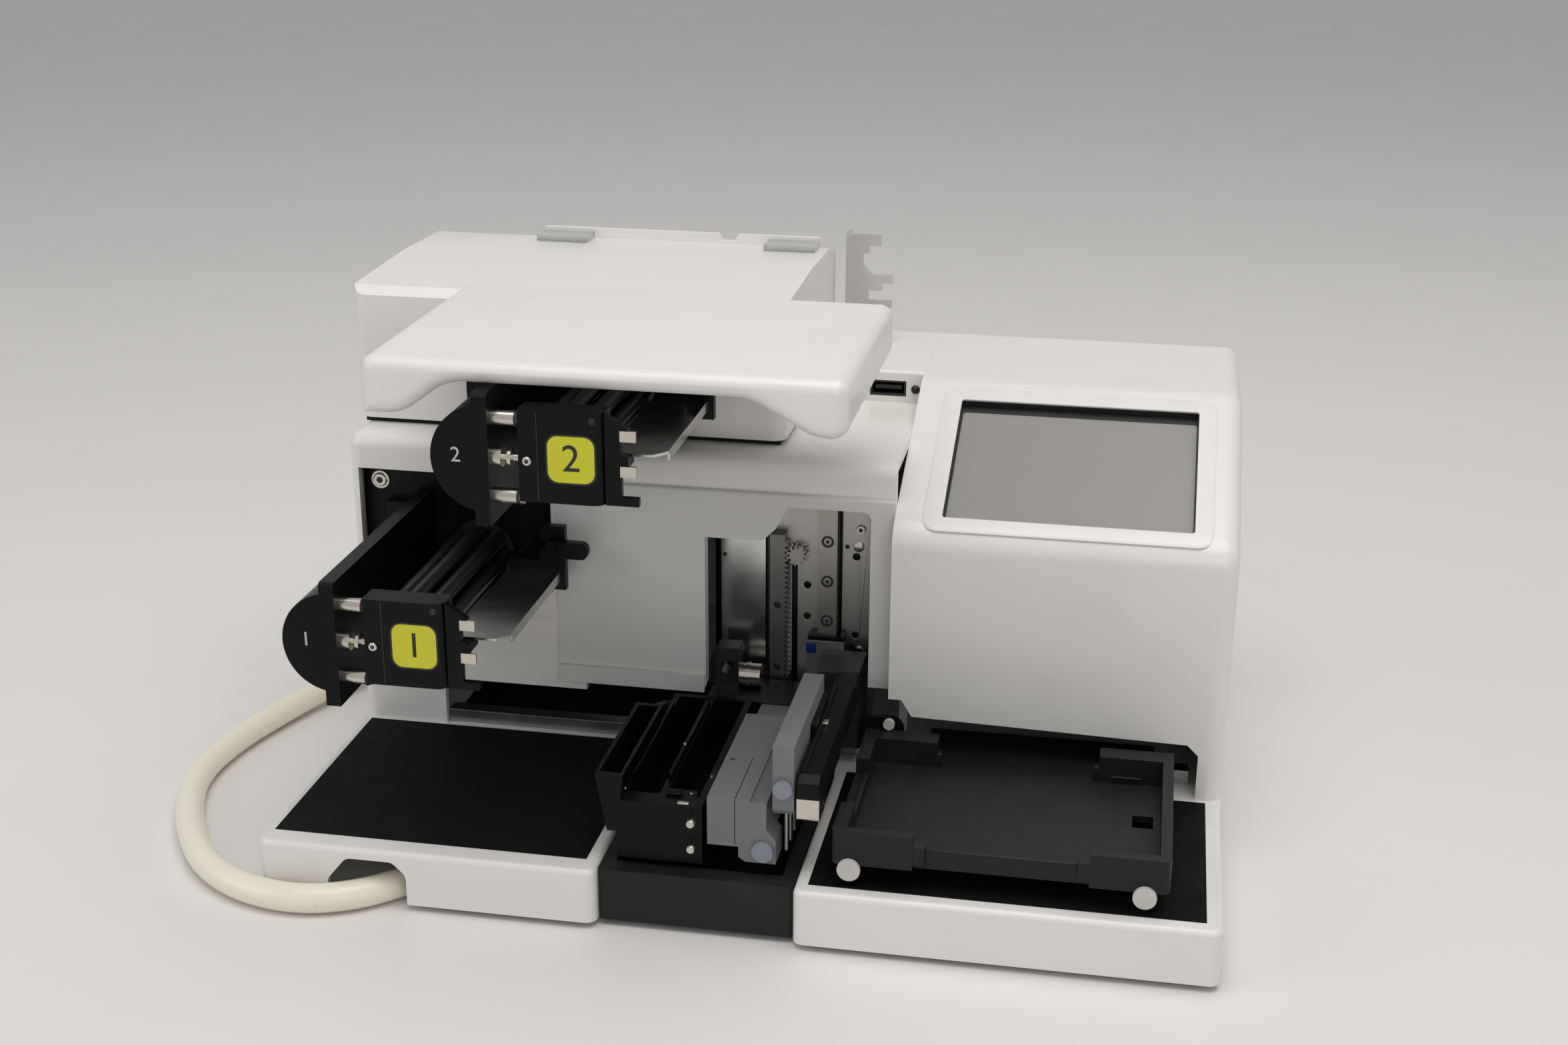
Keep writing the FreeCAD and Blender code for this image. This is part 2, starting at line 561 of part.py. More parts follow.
def upper_module():
    module = Moulding("upper_module")
    module.pad("side", [("module_front", "module_low"), ("module_back", "module_low"),
                        ("module_back", "module_tail"),
                        ("module_back - 20", "module_crown - 1.2"),
                        ("(module_front + module_back) / 2", "module_crown"),
                        ("module_front + 4", "module_edge"),
                        ("module_front", "module_edge - 4")],
               LEFT, "module_right")
    module.round("module_round", "z", {"x": LEFT, "y": "module_front"},
                 {"x": "module_right", "y": "module_front"})
    module.cut("side", [("module_front + shell", "module_low"),
                        ("module_back - shell", "module_low"),
                        ("module_back - shell", "module_tail - shell"),
                        ("module_front + shell", "module_tail - shell")],
               LEFT + " + shell", "module_right - shell")
    top = "module_crown - 1.2"
    x0, x1 = LEFT + " + 58", "module_right - 5"
    module.pad("front", [(x0, top + " - 2"), (x1, top + " - 2"), (x1, top + " + rim_high"),
                         ("%s - 42" % x1, top + " + rim_high"), ("%s - 44" % x1, top + " + 1.5"),
                         ("%s - 50" % x1, top + " + 1.5"), ("%s - 52" % x1, top + " + rim_high"),
                         (x0, top + " + rim_high")],
               "module_back - 20", "module_back - 20 + rim_thick")
    module.done()
    foot = block("module_gasket", (LEFT + " + gasket_inset", "module_right - gasket_inset"),
                 ("module_front + gasket_inset", "module_back - gasket_inset"),
                 ("left_top", "module_low"))
    keep("module_gasket", foot)
    hood = Moulding("hood")
    hood.pad("front", [("hood_left", "hood_end"), ("scoop_left", "hood_end"),
                       ("scoop_left_top", "hood_lip"), ("scoop_right_top", "hood_lip"),
                       ("scoop_right", "hood_end"), ("hood_right", "hood_end"),
                       ("hood_right", "hood_top"), ("hood_left", "hood_top")],
             "hood_front", "module_front")
    hood.round("scoop_round", "y", {"x": "scoop_left", "z": "hood_end"},
               {"x": "scoop_left_top", "z": "hood_lip"},
               {"x": "scoop_right_top", "z": "hood_lip"},
               {"x": "scoop_right", "z": "hood_end"})
    hood.round("hood_round", "y", {"x": "hood_right", "z": "hood_end"})
    hood.round("hood_round", "z", {"x": "hood_left", "y": "hood_front"},
               {"x": "hood_right", "y": "hood_front"})
    hood.cut("top", box_outline("hood_left + hood_wall", "hood_right - hood_wall",
                                "hood_front + hood_wall", "module_front"),
             "hood_end - 1", "hood_top - hood_wall")
    hood.done()
    clips = []
    for x in (x0, "%s - clip_long" % x1):
        clips.append(block("clip", (x, x + " + clip_long"),
                           ("module_back - 20 - clip_deep", "module_back - 20"),
                           (top + " + 0.9", top + " + 3.4")))
    keep("rim_clips", group("rim_clips", clips))


upper_module()


# Stainless tube bracket, one bent sheet with two hooks.

def tube_bracket():
    left, right, top = "bracket_left", "bracket_right", "bracket_top"
    bracket = Moulding("tube_bracket")
    bracket.pad("front", [
        (left, "right_top"), (right, "right_top"), (right, "right_top + 12"),
        (right + " - 4", "right_top + 12"), (right + " - 4", "right_top + 18"),
        (right, "right_top + 18"), (right, "right_top + 22"), (left + " + 12", "right_top + 22"),
        (left + " + 12", "right_top + 27"), (right + " - 5", "right_top + 27"),
        (right + " - 5", "right_top + 31"), (right, "right_top + 31"),
        (right, top + " - 21"), (left + " + 14", top + " - 21"), (left + " + 9", top + " - 16"),
        (left + " + 9", top + " - 10"), (left + " + 12", top + " - 10"),
        (left + " + 12", top + " - 6"), (right + " - 6", top + " - 6"), (right + " - 6", top),
        (left, top)],
        "bracket_depth", "bracket_depth + bracket_thick")
    bracket.pad("top", box_outline(left, left + " + bracket_thick", "bracket_depth",
                                   "bracket_depth + bracket_flange"), "right_top", top)
    bracket.done()


tube_bracket()


# Peristaltic pumps. Both are the same assembly; the upper one is stepped right and up.

def pump(prefix, step):
    left = "(pump_left + %d * pump_step_x)" % step
    axis = "(pump_axis + %d * pump_step_z)" % step
    low, high = "%s - plate_high / 2" % axis, "%s + plate_high / 2" % axis
    plate = Moulding(prefix + "_side_plate")
    plate.pad("side", [("pump_front", low), ("pump_back", low), ("pump_back", high),
                       ("pump_front + 1.5", high), ("pump_front", high + " - 1.5")],
              left, left + " + plate_thick")
    # the half-round end stands out to the left of the plate
    plate.boss("front", [(left + " + dome_shift", axis)], "dome_radius",
               "pump_front + dome_set_back", "pump_back")
    plate.cut("front", box_outline(left + " + plate_thick",
                                   left + " + dome_shift + dome_radius + 1",
                                   axis + " - dome_radius - 1", axis + " + dome_radius + 1"),
              "pump_front", "pump_back + 1")
    plate.done()
    x0 = left + " + block_shift"
    x1 = x0 + " + block_wide"
    z0 = axis + " + block_rise - block_high / 2"
    z1 = axis + " + block_rise + block_high / 2"
    shaft_x = left + " + rotor_shift"
    front = Moulding(prefix + "_front_block")
    front.pad("front", box_outline(x0, x1, z0, z1), "pump_front", "pump_front + block_deep")
    front.round("block_round", "z", {"x": x1, "y": "pump_front"})
    front.bore("front", [(shaft_x, axis)], "shaft_radius + shaft_gap",
               "pump_front + block_deep - journal", "pump_front + block_deep")
    front.done()
    edge = left + " + plate_thick"
    bars = [rod("standoff", "x", "standoff_radius",
                ("pump_front + standoff_depth", "%s %s standoff_reach" % (axis, sign)),
                (edge, x0)) for sign in ("+", "-")]
    bolt = joined("tension_screw", [
        rod("bolt_stem", "x", "1.6", ("pump_front + standoff_depth", axis), (edge, x0)),
        rod("bolt_nut", "x", "4.2", ("pump_front + standoff_depth", axis),
            (edge, edge + " + 4")),
        rod("bolt_ring", "x", "3.6", ("pump_front + standoff_depth", axis),
            (edge + " + 6.5", edge + " + 8"))])
    # rotor: shaft with two hubs, then the rollers between them
    hub_front = "pump_front + block_deep + rotor_end_gap"
    hub_back = "pump_back - rotor_end_gap"
    rotor = Moulding(prefix + "_rotor")
    rotor.boss("front", [(shaft_x, axis)], "shaft_radius",
               "pump_front + block_deep - journal + 0.5", "pump_back + 3.5")
    rotor.boss("front", [(shaft_x, axis)], "hub_radius", hub_front, hub_front + " + hub_thick")
    rotor.boss("front", [(shaft_x, axis)], "hub_radius", hub_back + " - hub_thick", hub_back)
    rollers = []
    count = int(SIZES["roller_count"])
    for index in range(count):
        angle = "%d * 360 / roller_count" % index
        rollers.append(rod("roller", "y", "roller_radius",
                           ("%s + roller_circle * cos(%s)" % (shaft_x, angle),
                            "%s + roller_circle * sin(%s)" % (axis, angle)),
                           (hub_front + " + hub_thick", hub_back + " - hub_thick")))
    keep(prefix + "_rotor", joined(prefix + "_rotor_set", [rotor.body] + rollers))
    # combs that hold the cassette, and the drip shelf between them
    near = left + " + comb_right"
    comb = Moulding(prefix + "_comb_front")
    comb.pad("front", [(x1, z0), (near + " + 4", z0), (near + " + 4", z0 + " + 3.5"),
                       (near + " - 3", z0 + " + 3.5"), (near + " - 3", axis + " - 4"),
                       (near, axis + " - 4"), (near, axis + " + 4"),
                       (near + " - 3", axis + " + 6"), (near + " - 3", axis + " + 11"),
                       (near, axis + " + 11"), (near, axis + " + 16"), (x1, z1)],
             "pump_front + 2", "pump_front + 2 + comb_thick")
    comb.pad("front", box_outline(left + " + shelf_left", near + " - 3", axis + " - 4",
                                  axis + " - shelf_thick / 2"),
             "pump_front + block_deep", "shelf_front + 4")
    comb.pad("front", box_outline(x1, near + " - 3", axis + " - 4", axis + " - shelf_thick / 2"),
             "pump_front + 2", "pump_front + block_deep")
    tabs = [block("tab", (near + " - 3", near + " + 3.5"),
                  ("pump_front + 0.6", "pump_front + 2"), (low_z, low_z + " + 4.5"))
            for low_z in (axis + " + 11.2", axis + " - 3.6")]
    keep(prefix + "_hardware", group(prefix + "_hardware", bars + [bolt] + tabs))
    shelf = Moulding(prefix + "_drip_shelf")
    shelf.pad("top", [(left + " + shelf_left", "shelf_front"),
                      (left + " + shelf_right - 5", "shelf_front"),
                      (left + " + shelf_right", "shelf_front + 6"),
                      (left + " + shelf_right", "shelf_back"),
                      (left + " + shelf_left", "shelf_back")],
              axis + " - shelf_thick / 2", axis + " + shelf_thick / 2")
    shelf.pad("side", [("shelf_front + 8", axis + " - shelf_flange"),
                       ("shelf_back", axis + " - shelf_flange"), ("shelf_back", axis),
                       ("shelf_front + 8", axis)],
              left + " + shelf_right - shelf_thick", left + " + shelf_right")
    shelf.done()
    reach = left + " + rear_comb_right"
    rear = Moulding(prefix + "_comb_rear")
    rear.pad("front", [(left + " + shelf_left", axis + " - 9"), (reach, axis + " - 9"),
                       (reach, axis + " + rear_comb_high"),
                       (reach + " - 12", axis + " + rear_comb_high"),
                       (reach + " - 12", axis + " + 15"), (reach + " - 9", axis + " + 15"),
                       (reach + " - 9", axis + " + 10"), (reach + " - 12", axis + " + 10"),
                       (reach + " - 12", axis + " + 5"), (left + " + shelf_left", axis + " + 5")],
             "shelf_back", "shelf_back + 4")
    rear.pad("front", box_outline(left + " + shelf_left + 4", left + " + shelf_left + 14",
                                  axis + " - 9", axis + " + 5"), "shelf_back + 4", "pump_back")
    pivot = (reach + " - 4", axis + " + lever_rise")
    rear.boss("front", [pivot], "pivot_radius", "shelf_back - lever_thick - 1.2", "shelf_back")
    keep(prefix + "_combs", group(prefix + "_combs", [comb.body, rear.body]))
    lever = Moulding(prefix + "_lever")
    lever.pad("front", box_outline(reach + " - 7.5", reach + " - 4 + lever_long",
                                   axis + " + lever_rise - lever_high / 2",
                                   axis + " + lever_rise + lever_high / 2"),
              "shelf_back - lever_thick - lever_gap", "shelf_back - lever_gap")
    lever.round("3.4", "y", {"x": reach + " - 4 + lever_long",
                             "z": axis + " + lever_rise - lever_high / 2"},
                {"x": reach + " - 4 + lever_long",
                 "z": axis + " + lever_rise + lever_high / 2"})
    lever.bore("front", [pivot], "pivot_radius + shaft_gap",
               "shelf_back - lever_thick - 1", "shelf_back")
    lever.done()


pump("pri", 0)
pump("sec", 1)


def pump_drives():
    """The bezel behind the upper pump, and the motors behind both."""
    axis_x, axis_z = "pump_left + rotor_shift", "pump_axis"
    sec_x = "pump_left + pump_step_x + rotor_shift"
    sec_z = "pump_axis + pump_step_z"
    bezel = Moulding("sec_bay_panel")
    bezel.pad("front", box_outline("hood_left + hood_wall",
                                  "pump_left + pump_step_x + rear_comb_right - 19.6",
                                  "module_low + 1.5", "hood_lip + 2"),
              "pump_back", "module_front")
    bezel.bore("front", [(sec_x, sec_z)], "shaft_radius + shaft_gap", "pump_back",
               "pump_back + 5")
    bezel.done()
    lower = joined("lower_motor", [
        rod("motor_can", "y", "18", (axis_x, axis_z),
            ("left_front + bay_recess + bay_plate", "left_front + bay_recess + bay_plate + 62")),
        rod("motor_rear", "y", "6", (axis_x, axis_z),
            ("left_front + bay_recess + bay_plate", "left_front + bay_recess + bay_plate + 66"))])
    upper = joined("upper_motor", [
        rod("motor_can", "y", "18", (sec_x, sec_z),
            ("module_front + shell", "module_front + shell + 62")),
        rod("motor_rear", "y", "6", (sec_x, sec_z),
            ("module_front + shell", "module_front + shell + 66"))])
    return [lower, upper]


MOTORS = pump_drives()


# Tower of the lifting head: back plate, guide plate, rail with its screws, lift motor.

def tower():
    plate = Moulding("head_backplate")
    foot_right = "right_tray_edge - well_gap"
    plate.pad("front", [("tower_left", "foot_high + pan_thick"),
                        (foot_right, "foot_high + pan_thick"), (foot_right, "tray_top"),
                        ("tower_right", "tray_top"), ("tower_right", "tower_top"),
                        ("tower_left", "tower_top")],
              "tower_front", "tower_front + tower_thick")
    holes = [(x, z) for x in ("tower_left + 4", "tower_right - 9") for z in ("78", "118")]
    holes += [("-4", "64"), ("rack_right + 8", "86"), ("rack_right + 8", "102")]
    plate.bore("front", holes, "1.8", "tower_front", "tower_front + tower_thick")
    plate.bore("front", [("rack_right - gear_module + pinion_teeth * gear_module / 2 + mesh_gap",
                          "pinion_height")], "3", "tower_front", "tower_front + tower_thick")
    plate.done()
    guide = Moulding("guide_plate")
    guide.pad("front", box_outline("guide_left", "guide_right", "guide_low", "tower_top"),
              "tower_front - rail_deep", "tower_front")
    guide.done()
    x0, x1 = "rail_centre - rail_width / 2", "rail_centre + rail_width / 2"
    front = "tower_front - rail_deep"
    rail = Moulding("linear_rail")
    rail.pad("front", box_outline(x0, x1, "rail_low", "rail_top"), front, "tower_front")
    centres = [("rail_centre", "rail_first_hole + %d * rail_hole_pitch" % index)
               for index in range(6)]
    rail.bore("front", centres, "rail_bore_radius", front, front + " + rail_bore_deep")
    rail.done()
    heads = [rod("head", "y", "rail_screw_radius", centre,
                 (front + " + 0.8", front + " + rail_bore_deep")) for centre in centres]
    keep("fixing_screws", group("fixing_screws", heads + [SOCKET_SCREW]))


tower()


# Rack and pinion. Straight teeth with a 20 degree pressure angle.

def tooth_slope():
    return math.tan(math.radians(20))


def rack_and_pinion():
    module = SIZES["gear_module"]
    pitch = math.pi * module
    line = SIZES["rack_right"] - module
    low, high = SIZES["rack_low"], SIZES["rack_low"] + SIZES["rack_high"]
    y0 = SIZES["rack_front"] - SIZES["total_deep"] / 2
    # a tooth of the rack sits level with a gap of the pinion
    level = SIZES["pinion_height"]
    lean = tooth_slope()
    half = pitch / 4 - SIZES["mesh_gap"] / 2
    points = [(SIZES["rack_left"], low), (line - 1.25 * module, low)]
    first = math.ceil((low + pitch - level) / pitch)
    last = math.floor((high - pitch - level) / pitch)
    for number in range(first, last + 1):
        middle = level + number * pitch
        points += [(line - 1.25 * module, middle - half - 1.25 * module * lean),
                   (line + 0.75 * module, middle - half + 0.75 * module * lean),
                   (line + 0.75 * module, middle + half - 0.75 * module * lean),
                   (line - 1.25 * module, middle + half + 1.25 * module * lean)]
    points += [(line - 1.25 * module, high), (SIZES["rack_left"], high)]
    wire = Part.makePolygon([FreeCAD.Vector(x, y0, z) for x, z in points + points[:1]])
    rack = Part.Face(wire).extrude(FreeCAD.Vector(0, SIZES["rack_deep"], 0))
    middle_x = (SIZES["rack_left"] + line) / 2 - 0.4
    for height in (low + 9.5, low + 41.5):
        rack = rack.cut(Part.makeCylinder(1.7, SIZES["rack_deep"] + 2,
                                          FreeCAD.Vector(middle_x, y0 - 1, height),
                                          FreeCAD.Vector(0, 1, 0)))
    feature = doc.addObject("Part::Feature", "gear_rack")
    feature.Shape = rack
    keep("gear_rack", feature)
    # pinion: each flank is the curve that rolls on the straight rack flank
    teeth = int(SIZES["pinion_teeth"])
    pitch_radius = module * teeth / 2
    base_radius = pitch_radius * math.cos(math.radians(20))
    outer = pitch_radius + 0.9 * module
    root = pitch_radius - 1.25 * module
    start = max(base_radius, root)
    half_tooth = math.pi / (2 * teeth) - SIZES["mesh_gap"] / (2 * pitch_radius)
    turn = math.tan(math.radians(20)) - math.radians(20)

    def flank(radius):
        angle = math.acos(min(1.0, base_radius / radius))
        return half_tooth + turn - (math.tan(angle) - angle)

    centre = FreeCAD.Vector(line + pitch_radius + SIZES["mesh_gap"], y0, level)
    steps = [start + (outer - start) * index / 4.0 for index in range(5)]

    def polar(radius, angle):
        return centre + FreeCAD.Vector(radius * math.cos(angle), 0, radius * math.sin(angle))

    outline = []
    for tooth in range(teeth):
        # a gap, not a tooth, points at the rack
        middle = math.pi + (tooth + 0.5) * 2 * math.pi / teeth
        outline.append(polar(root, middle - flank(start)))
        outline += [polar(radius, middle - flank(radius)) for radius in steps]
        outline += [polar(radius, middle + flank(radius)) for radius in reversed(steps)]
        outline.append(polar(root, middle + flank(start)))
    gear = Part.Face(Part.makePolygon(outline + outline[:1]))
    gear = gear.extrude(FreeCAD.Vector(0, SIZES["rack_deep"], 0))
    back = SIZES["tower_front"] + SIZES["tower_thick"] - SIZES["total_deep"] / 2
    shaft = Part.makeCylinder(1.5, back + 10 - y0, centre, FreeCAD.Vector(0, 1, 0))
    feature = doc.addObject("Part::Feature", "pinion")
    feature.Shape = gear.fuse(shaft)
    keep("pinion", feature)
    x = "rack_right - gear_module + pinion_teeth * gear_module / 2 + mesh_gap"
    motor = Moulding("lift_motor")
    back = "tower_front + tower_thick"
    motor.pad("front", box_outline(x + " - 14", x + " + 14", "pinion_height - 14",
                                   "pinion_height + 14"), back, back + " + 34")
    for along in ({"x": x + " - 14"}, {"x": x + " + 14"}):
        motor.round("3", "y", dict(along, z="pinion_height - 14"),
                    dict(along, z="pinion_height + 14"))
    motor.bore("front", [(x, "pinion_height")], "1.5 + shaft_gap", back, back + " + 12")
    keep("drive_motors", group("drive_motors", MOTORS + [motor.body]))
    return pitch_radius


PINION_PITCH_RADIUS = rack_and_pinion()


# Lifting head: carriage, beam, trough arm, two grey arms, black arm, needles and buttons.

def lifting_head():
    front = "tower_front - rail_deep"
    x0 = "rail_centre - carriage_width / 2"
    x1 = "rail_centre + carriage_width / 2"
    low, high = "carriage_low", "carriage_low + carriage_high"
    slot0 = "rail_centre - rail_width / 2 - carriage_play"
    slot1 = "rail_centre + rail_width / 2 + carriage_play"
    near = front + " - 3.5"
    carriage = Moulding("head_carriage")
    carriage.pad("top", [(x0, near), (x1, near), (x1, near + " + carriage_deep"),
                         (slot1, near + " + carriage_deep"), (slot1, front + " - carriage_play"),
                         (slot0, front + " - carriage_play"), (slot0, near + " + carriage_deep"),
                         (x0, near + " + carriage_deep")],
                 low + " + seal_thick", high + " - seal_thick")
    seals = carriage
    outline = [(x0 + " + 0.4", near + " + 0.3"), (x1 + " - 0.4", near + " + 0.3"),
               (x1 + " - 0.4", near + " + carriage_deep - 0.4"),
               (slot1, near + " + carriage_deep - 0.4"), (slot1, front + " - carriage_play"),
               (slot0, front + " - carriage_play"), (slot0, near + " + carriage_deep - 0.4"),
               (x0 + " + 0.4", near + " + carriage_deep - 0.4")]
    seals.pad("top", outline, high + " - seal_thick", high)
    seals.pad("top", outline, low, low + " + seal_thick")
    seals.done()
    beam = Moulding("head_beam")
    beam.pad("front", box_outline("beam_left", "beam_right", "beam_low", "beam_top"),
             "beam_front", near)
    beam.pad("front", box_outline("rack_left", "rack_right - 2 * gear_module", "foot_low",
                                  "rack_low"), near, "rack_front + rack_deep")
    beam.pad("front", box_outline("arm_b_left", "arm_c_right", "beam_top", "arm_c_top - 1"),
             "beam_front", near)
    drive = beam
    drive.pad("front", box_outline("guide_left + 1", "guide_left + 12", "beam_top",
                                   "beam_top + 21"), "beam_front + 12", "beam_front + 22")
    drive.bore("front", [("guide_left + 6.5", "beam_top + 11")], "3.4", "beam_front + 12",
               "beam_front + 22")
    drive.done()
    pulley = joined("drive_pulley", [
        rod("pulley_body", "x", "5.5", ("beam_front + 17", "beam_top + 6"),
            ("guide_left + 12", "guide_left + 22")),
        rod("pulley_rim", "x", "6", ("beam_front + 17", "beam_top + 6"),
            ("guide_left + 15", "guide_left + 17"))])
    trough = Moulding("trough_arm")
    t0, t1 = "trough_left", "trough_right"
    trough.pad("top", box_outline(t0 + " + 9", t1, "arm_front", "beam_front"),
               "trough_low", "trough_top")
    middle = "(trough_left + 9 + trough_right) / 2"
    for a, b in ((t0 + " + 9 + trough_wall", middle + " - trough_wall / 2"),
                 (middle + " + trough_wall / 2", t1 + " - trough_wall")):
        trough.cut("top", box_outline(a, b, "arm_front + 3 * trough_wall",
                                      "beam_front - trough_wall"),
                   "trough_low + trough_floor", "trough_top")
    # a second trough on its left flares out to its rim, and slopes down to the beam behind
    foot, rim = "trough_top - 15", "flap_top"
    v_back = "arm_front + 70"
    for a, b in (("arm_front", "arm_front + 2.5"), (v_back, v_back + " + 2.5")):
        trough.pad("front", [(t0 + " + 5", foot), (t0 + " + 9", foot),
                             (t0 + " + 12.5", rim), (t0, rim)], a, b)
    trough.pad("front", [(t0 + " + 5", foot), (t0 + " + 9", foot), (t0 + " + 9", foot + " + 2"),
                         (t0 + " + 6.6", foot + " + 2"), (t0 + " + 1.8", rim), (t0, rim)],
               "arm_front", v_back)
    trough.pad("front", [(t0 + " + 9", "trough_top - 2"), (t0 + " + 11", "trough_top - 2"),
                         (t0 + " + 12.5", rim), (t0 + " + 10.9", rim)], "arm_front", v_back)
    trough.pad("side", [(v_back, foot), ("beam_front - 4", foot + " + 3"),
                        ("beam_front - 4", "trough_top - 2"), (v_back + " + 2.5", rim + " - 2"),
                        (v_back, rim + " - 2")], t0 + " + 5", t0 + " + 9")
    trough.done()
    pins = [rod("pin", "y", "1.9", ("trough_right - 4", height), ("arm_front - 3", "arm_front"))
            for height in ("trough_top - 6", "trough_top - 18")]
    arm_a = Moulding("arm_a")
    arm_a.pad("top", box_outline("arm_a_left", "arm_a_right", "arm_front", "arm_a_back"),
              "arm_a_low", "arm_a_top")
    arm_a.pad("top", box_outline("arm_a_right", "cheek_right", "arm_front", "arm_a_back - 8"),
              "arm_a_low", "arm_a_top - 1")
    arm_a.pad("front", [("toe_left", "arm_a_low"), ("toe_left", "toe_low + 2"),
                        ("toe_left + 3", "toe_low"), ("toe_right", "toe_low"),
                        ("toe_right", "arm_a_low + 4"), ("cheek_right", "arm_a_low + 9"),
                        ("cheek_right", "arm_a_low")],
              "arm_front", "toe_back")
    arm_a.pad("top", box_outline("arm_a_left + 2", "arm_a_right", "arm_a_back",
                                 "beam_front"), "arm_a_low", "beam_top - 1")
    arm_a.bore("front", [("toe_right - 5.5", "arm_a_low - 1")],
               "button_radius + 0.1", "arm_front", "arm_front + 5")
    arm_a.done()
    arm_b = Moulding("arm_b")
    arm_b.pad("side", [("arm_front", "arm_b_low + 3"), ("arm_front + 3", "arm_b_low"),
                       ("arm_b_back", "arm_b_low"), ("arm_b_back", "arm_b_top"),
                       ("arm_front", "arm_b_top")],
              "arm_b_left", "arm_b_right")
    arm_b.bore("front", [("(arm_b_left + arm_b_right) / 2 - 0.1", "arm_b_low + 13")],
               "button_radius - 0.4", "arm_front", "arm_front + 5")
    arm_b.done()
    needles = [rod("needle", "z", "needle_radius",
                   ("(arm_b_left + arm_b_right) / 2",
                    "arm_front + 8 + %d * needle_pitch" % index),
                   ("needle_low", "arm_b_low"))
               for index in range(int(SIZES["needle_count"]))]
    keep("needles", group("needles", needles))
    arm_c = Moulding("arm_c")
    arm_c.pad("side", [("arm_front + 4", "arm_c_low"), ("beam_front", "arm_c_low"),
                       ("beam_front", "arm_c_top"), ("arm_front + 4", "arm_c_top"),
                       ("arm_front", "arm_c_top - 3"), ("arm_front", "tip_low + 10"),
                       ("arm_front + 4", "tip_low + 10")],
              "arm_c_left", "arm_c_right")
    arm_c.pad("side", box_outline("arm_front + 40", "arm_b_back", "arm_b_low + 4",
                                  "arm_b_top - 8"), "arm_b_right", "arm_c_left + 1")
    arm_c.done()
    tip = Moulding("arm_tip")
    tip.pad("side", [("arm_front", "tip_low + 1"), ("arm_front + 1", "tip_low"),
                     ("arm_front + 14", "tip_low"), ("arm_front + 14", "arm_c_low"),
                     ("arm_front + 4", "arm_c_low"), ("arm_front + 4", "tip_low + 10"),
                     ("arm_front", "tip_low + 10")],
            "arm_c_left", "arm_c_right")
    keep("head_hardware", group("head_hardware", pins + [pulley, tip.body]))
    keep("arm_a_button", rod("arm_a_button", "y", "button_radius",
                             ("toe_right - 5.5", "arm_a_low - 1"),
                             ("arm_front - button_proud", "arm_front + 3")))
    keep("arm_b_button", rod("arm_b_button", "y", "button_radius - 0.5",
                             ("(arm_b_left + arm_b_right) / 2 - 0.1", "arm_b_low + 13"),
                             ("arm_front - button_proud", "arm_front + 3")))


lifting_head()


# Plate carrier on its rail.

STUDS = "(carrier_left + 7.6)", "(carrier_right - 10)"


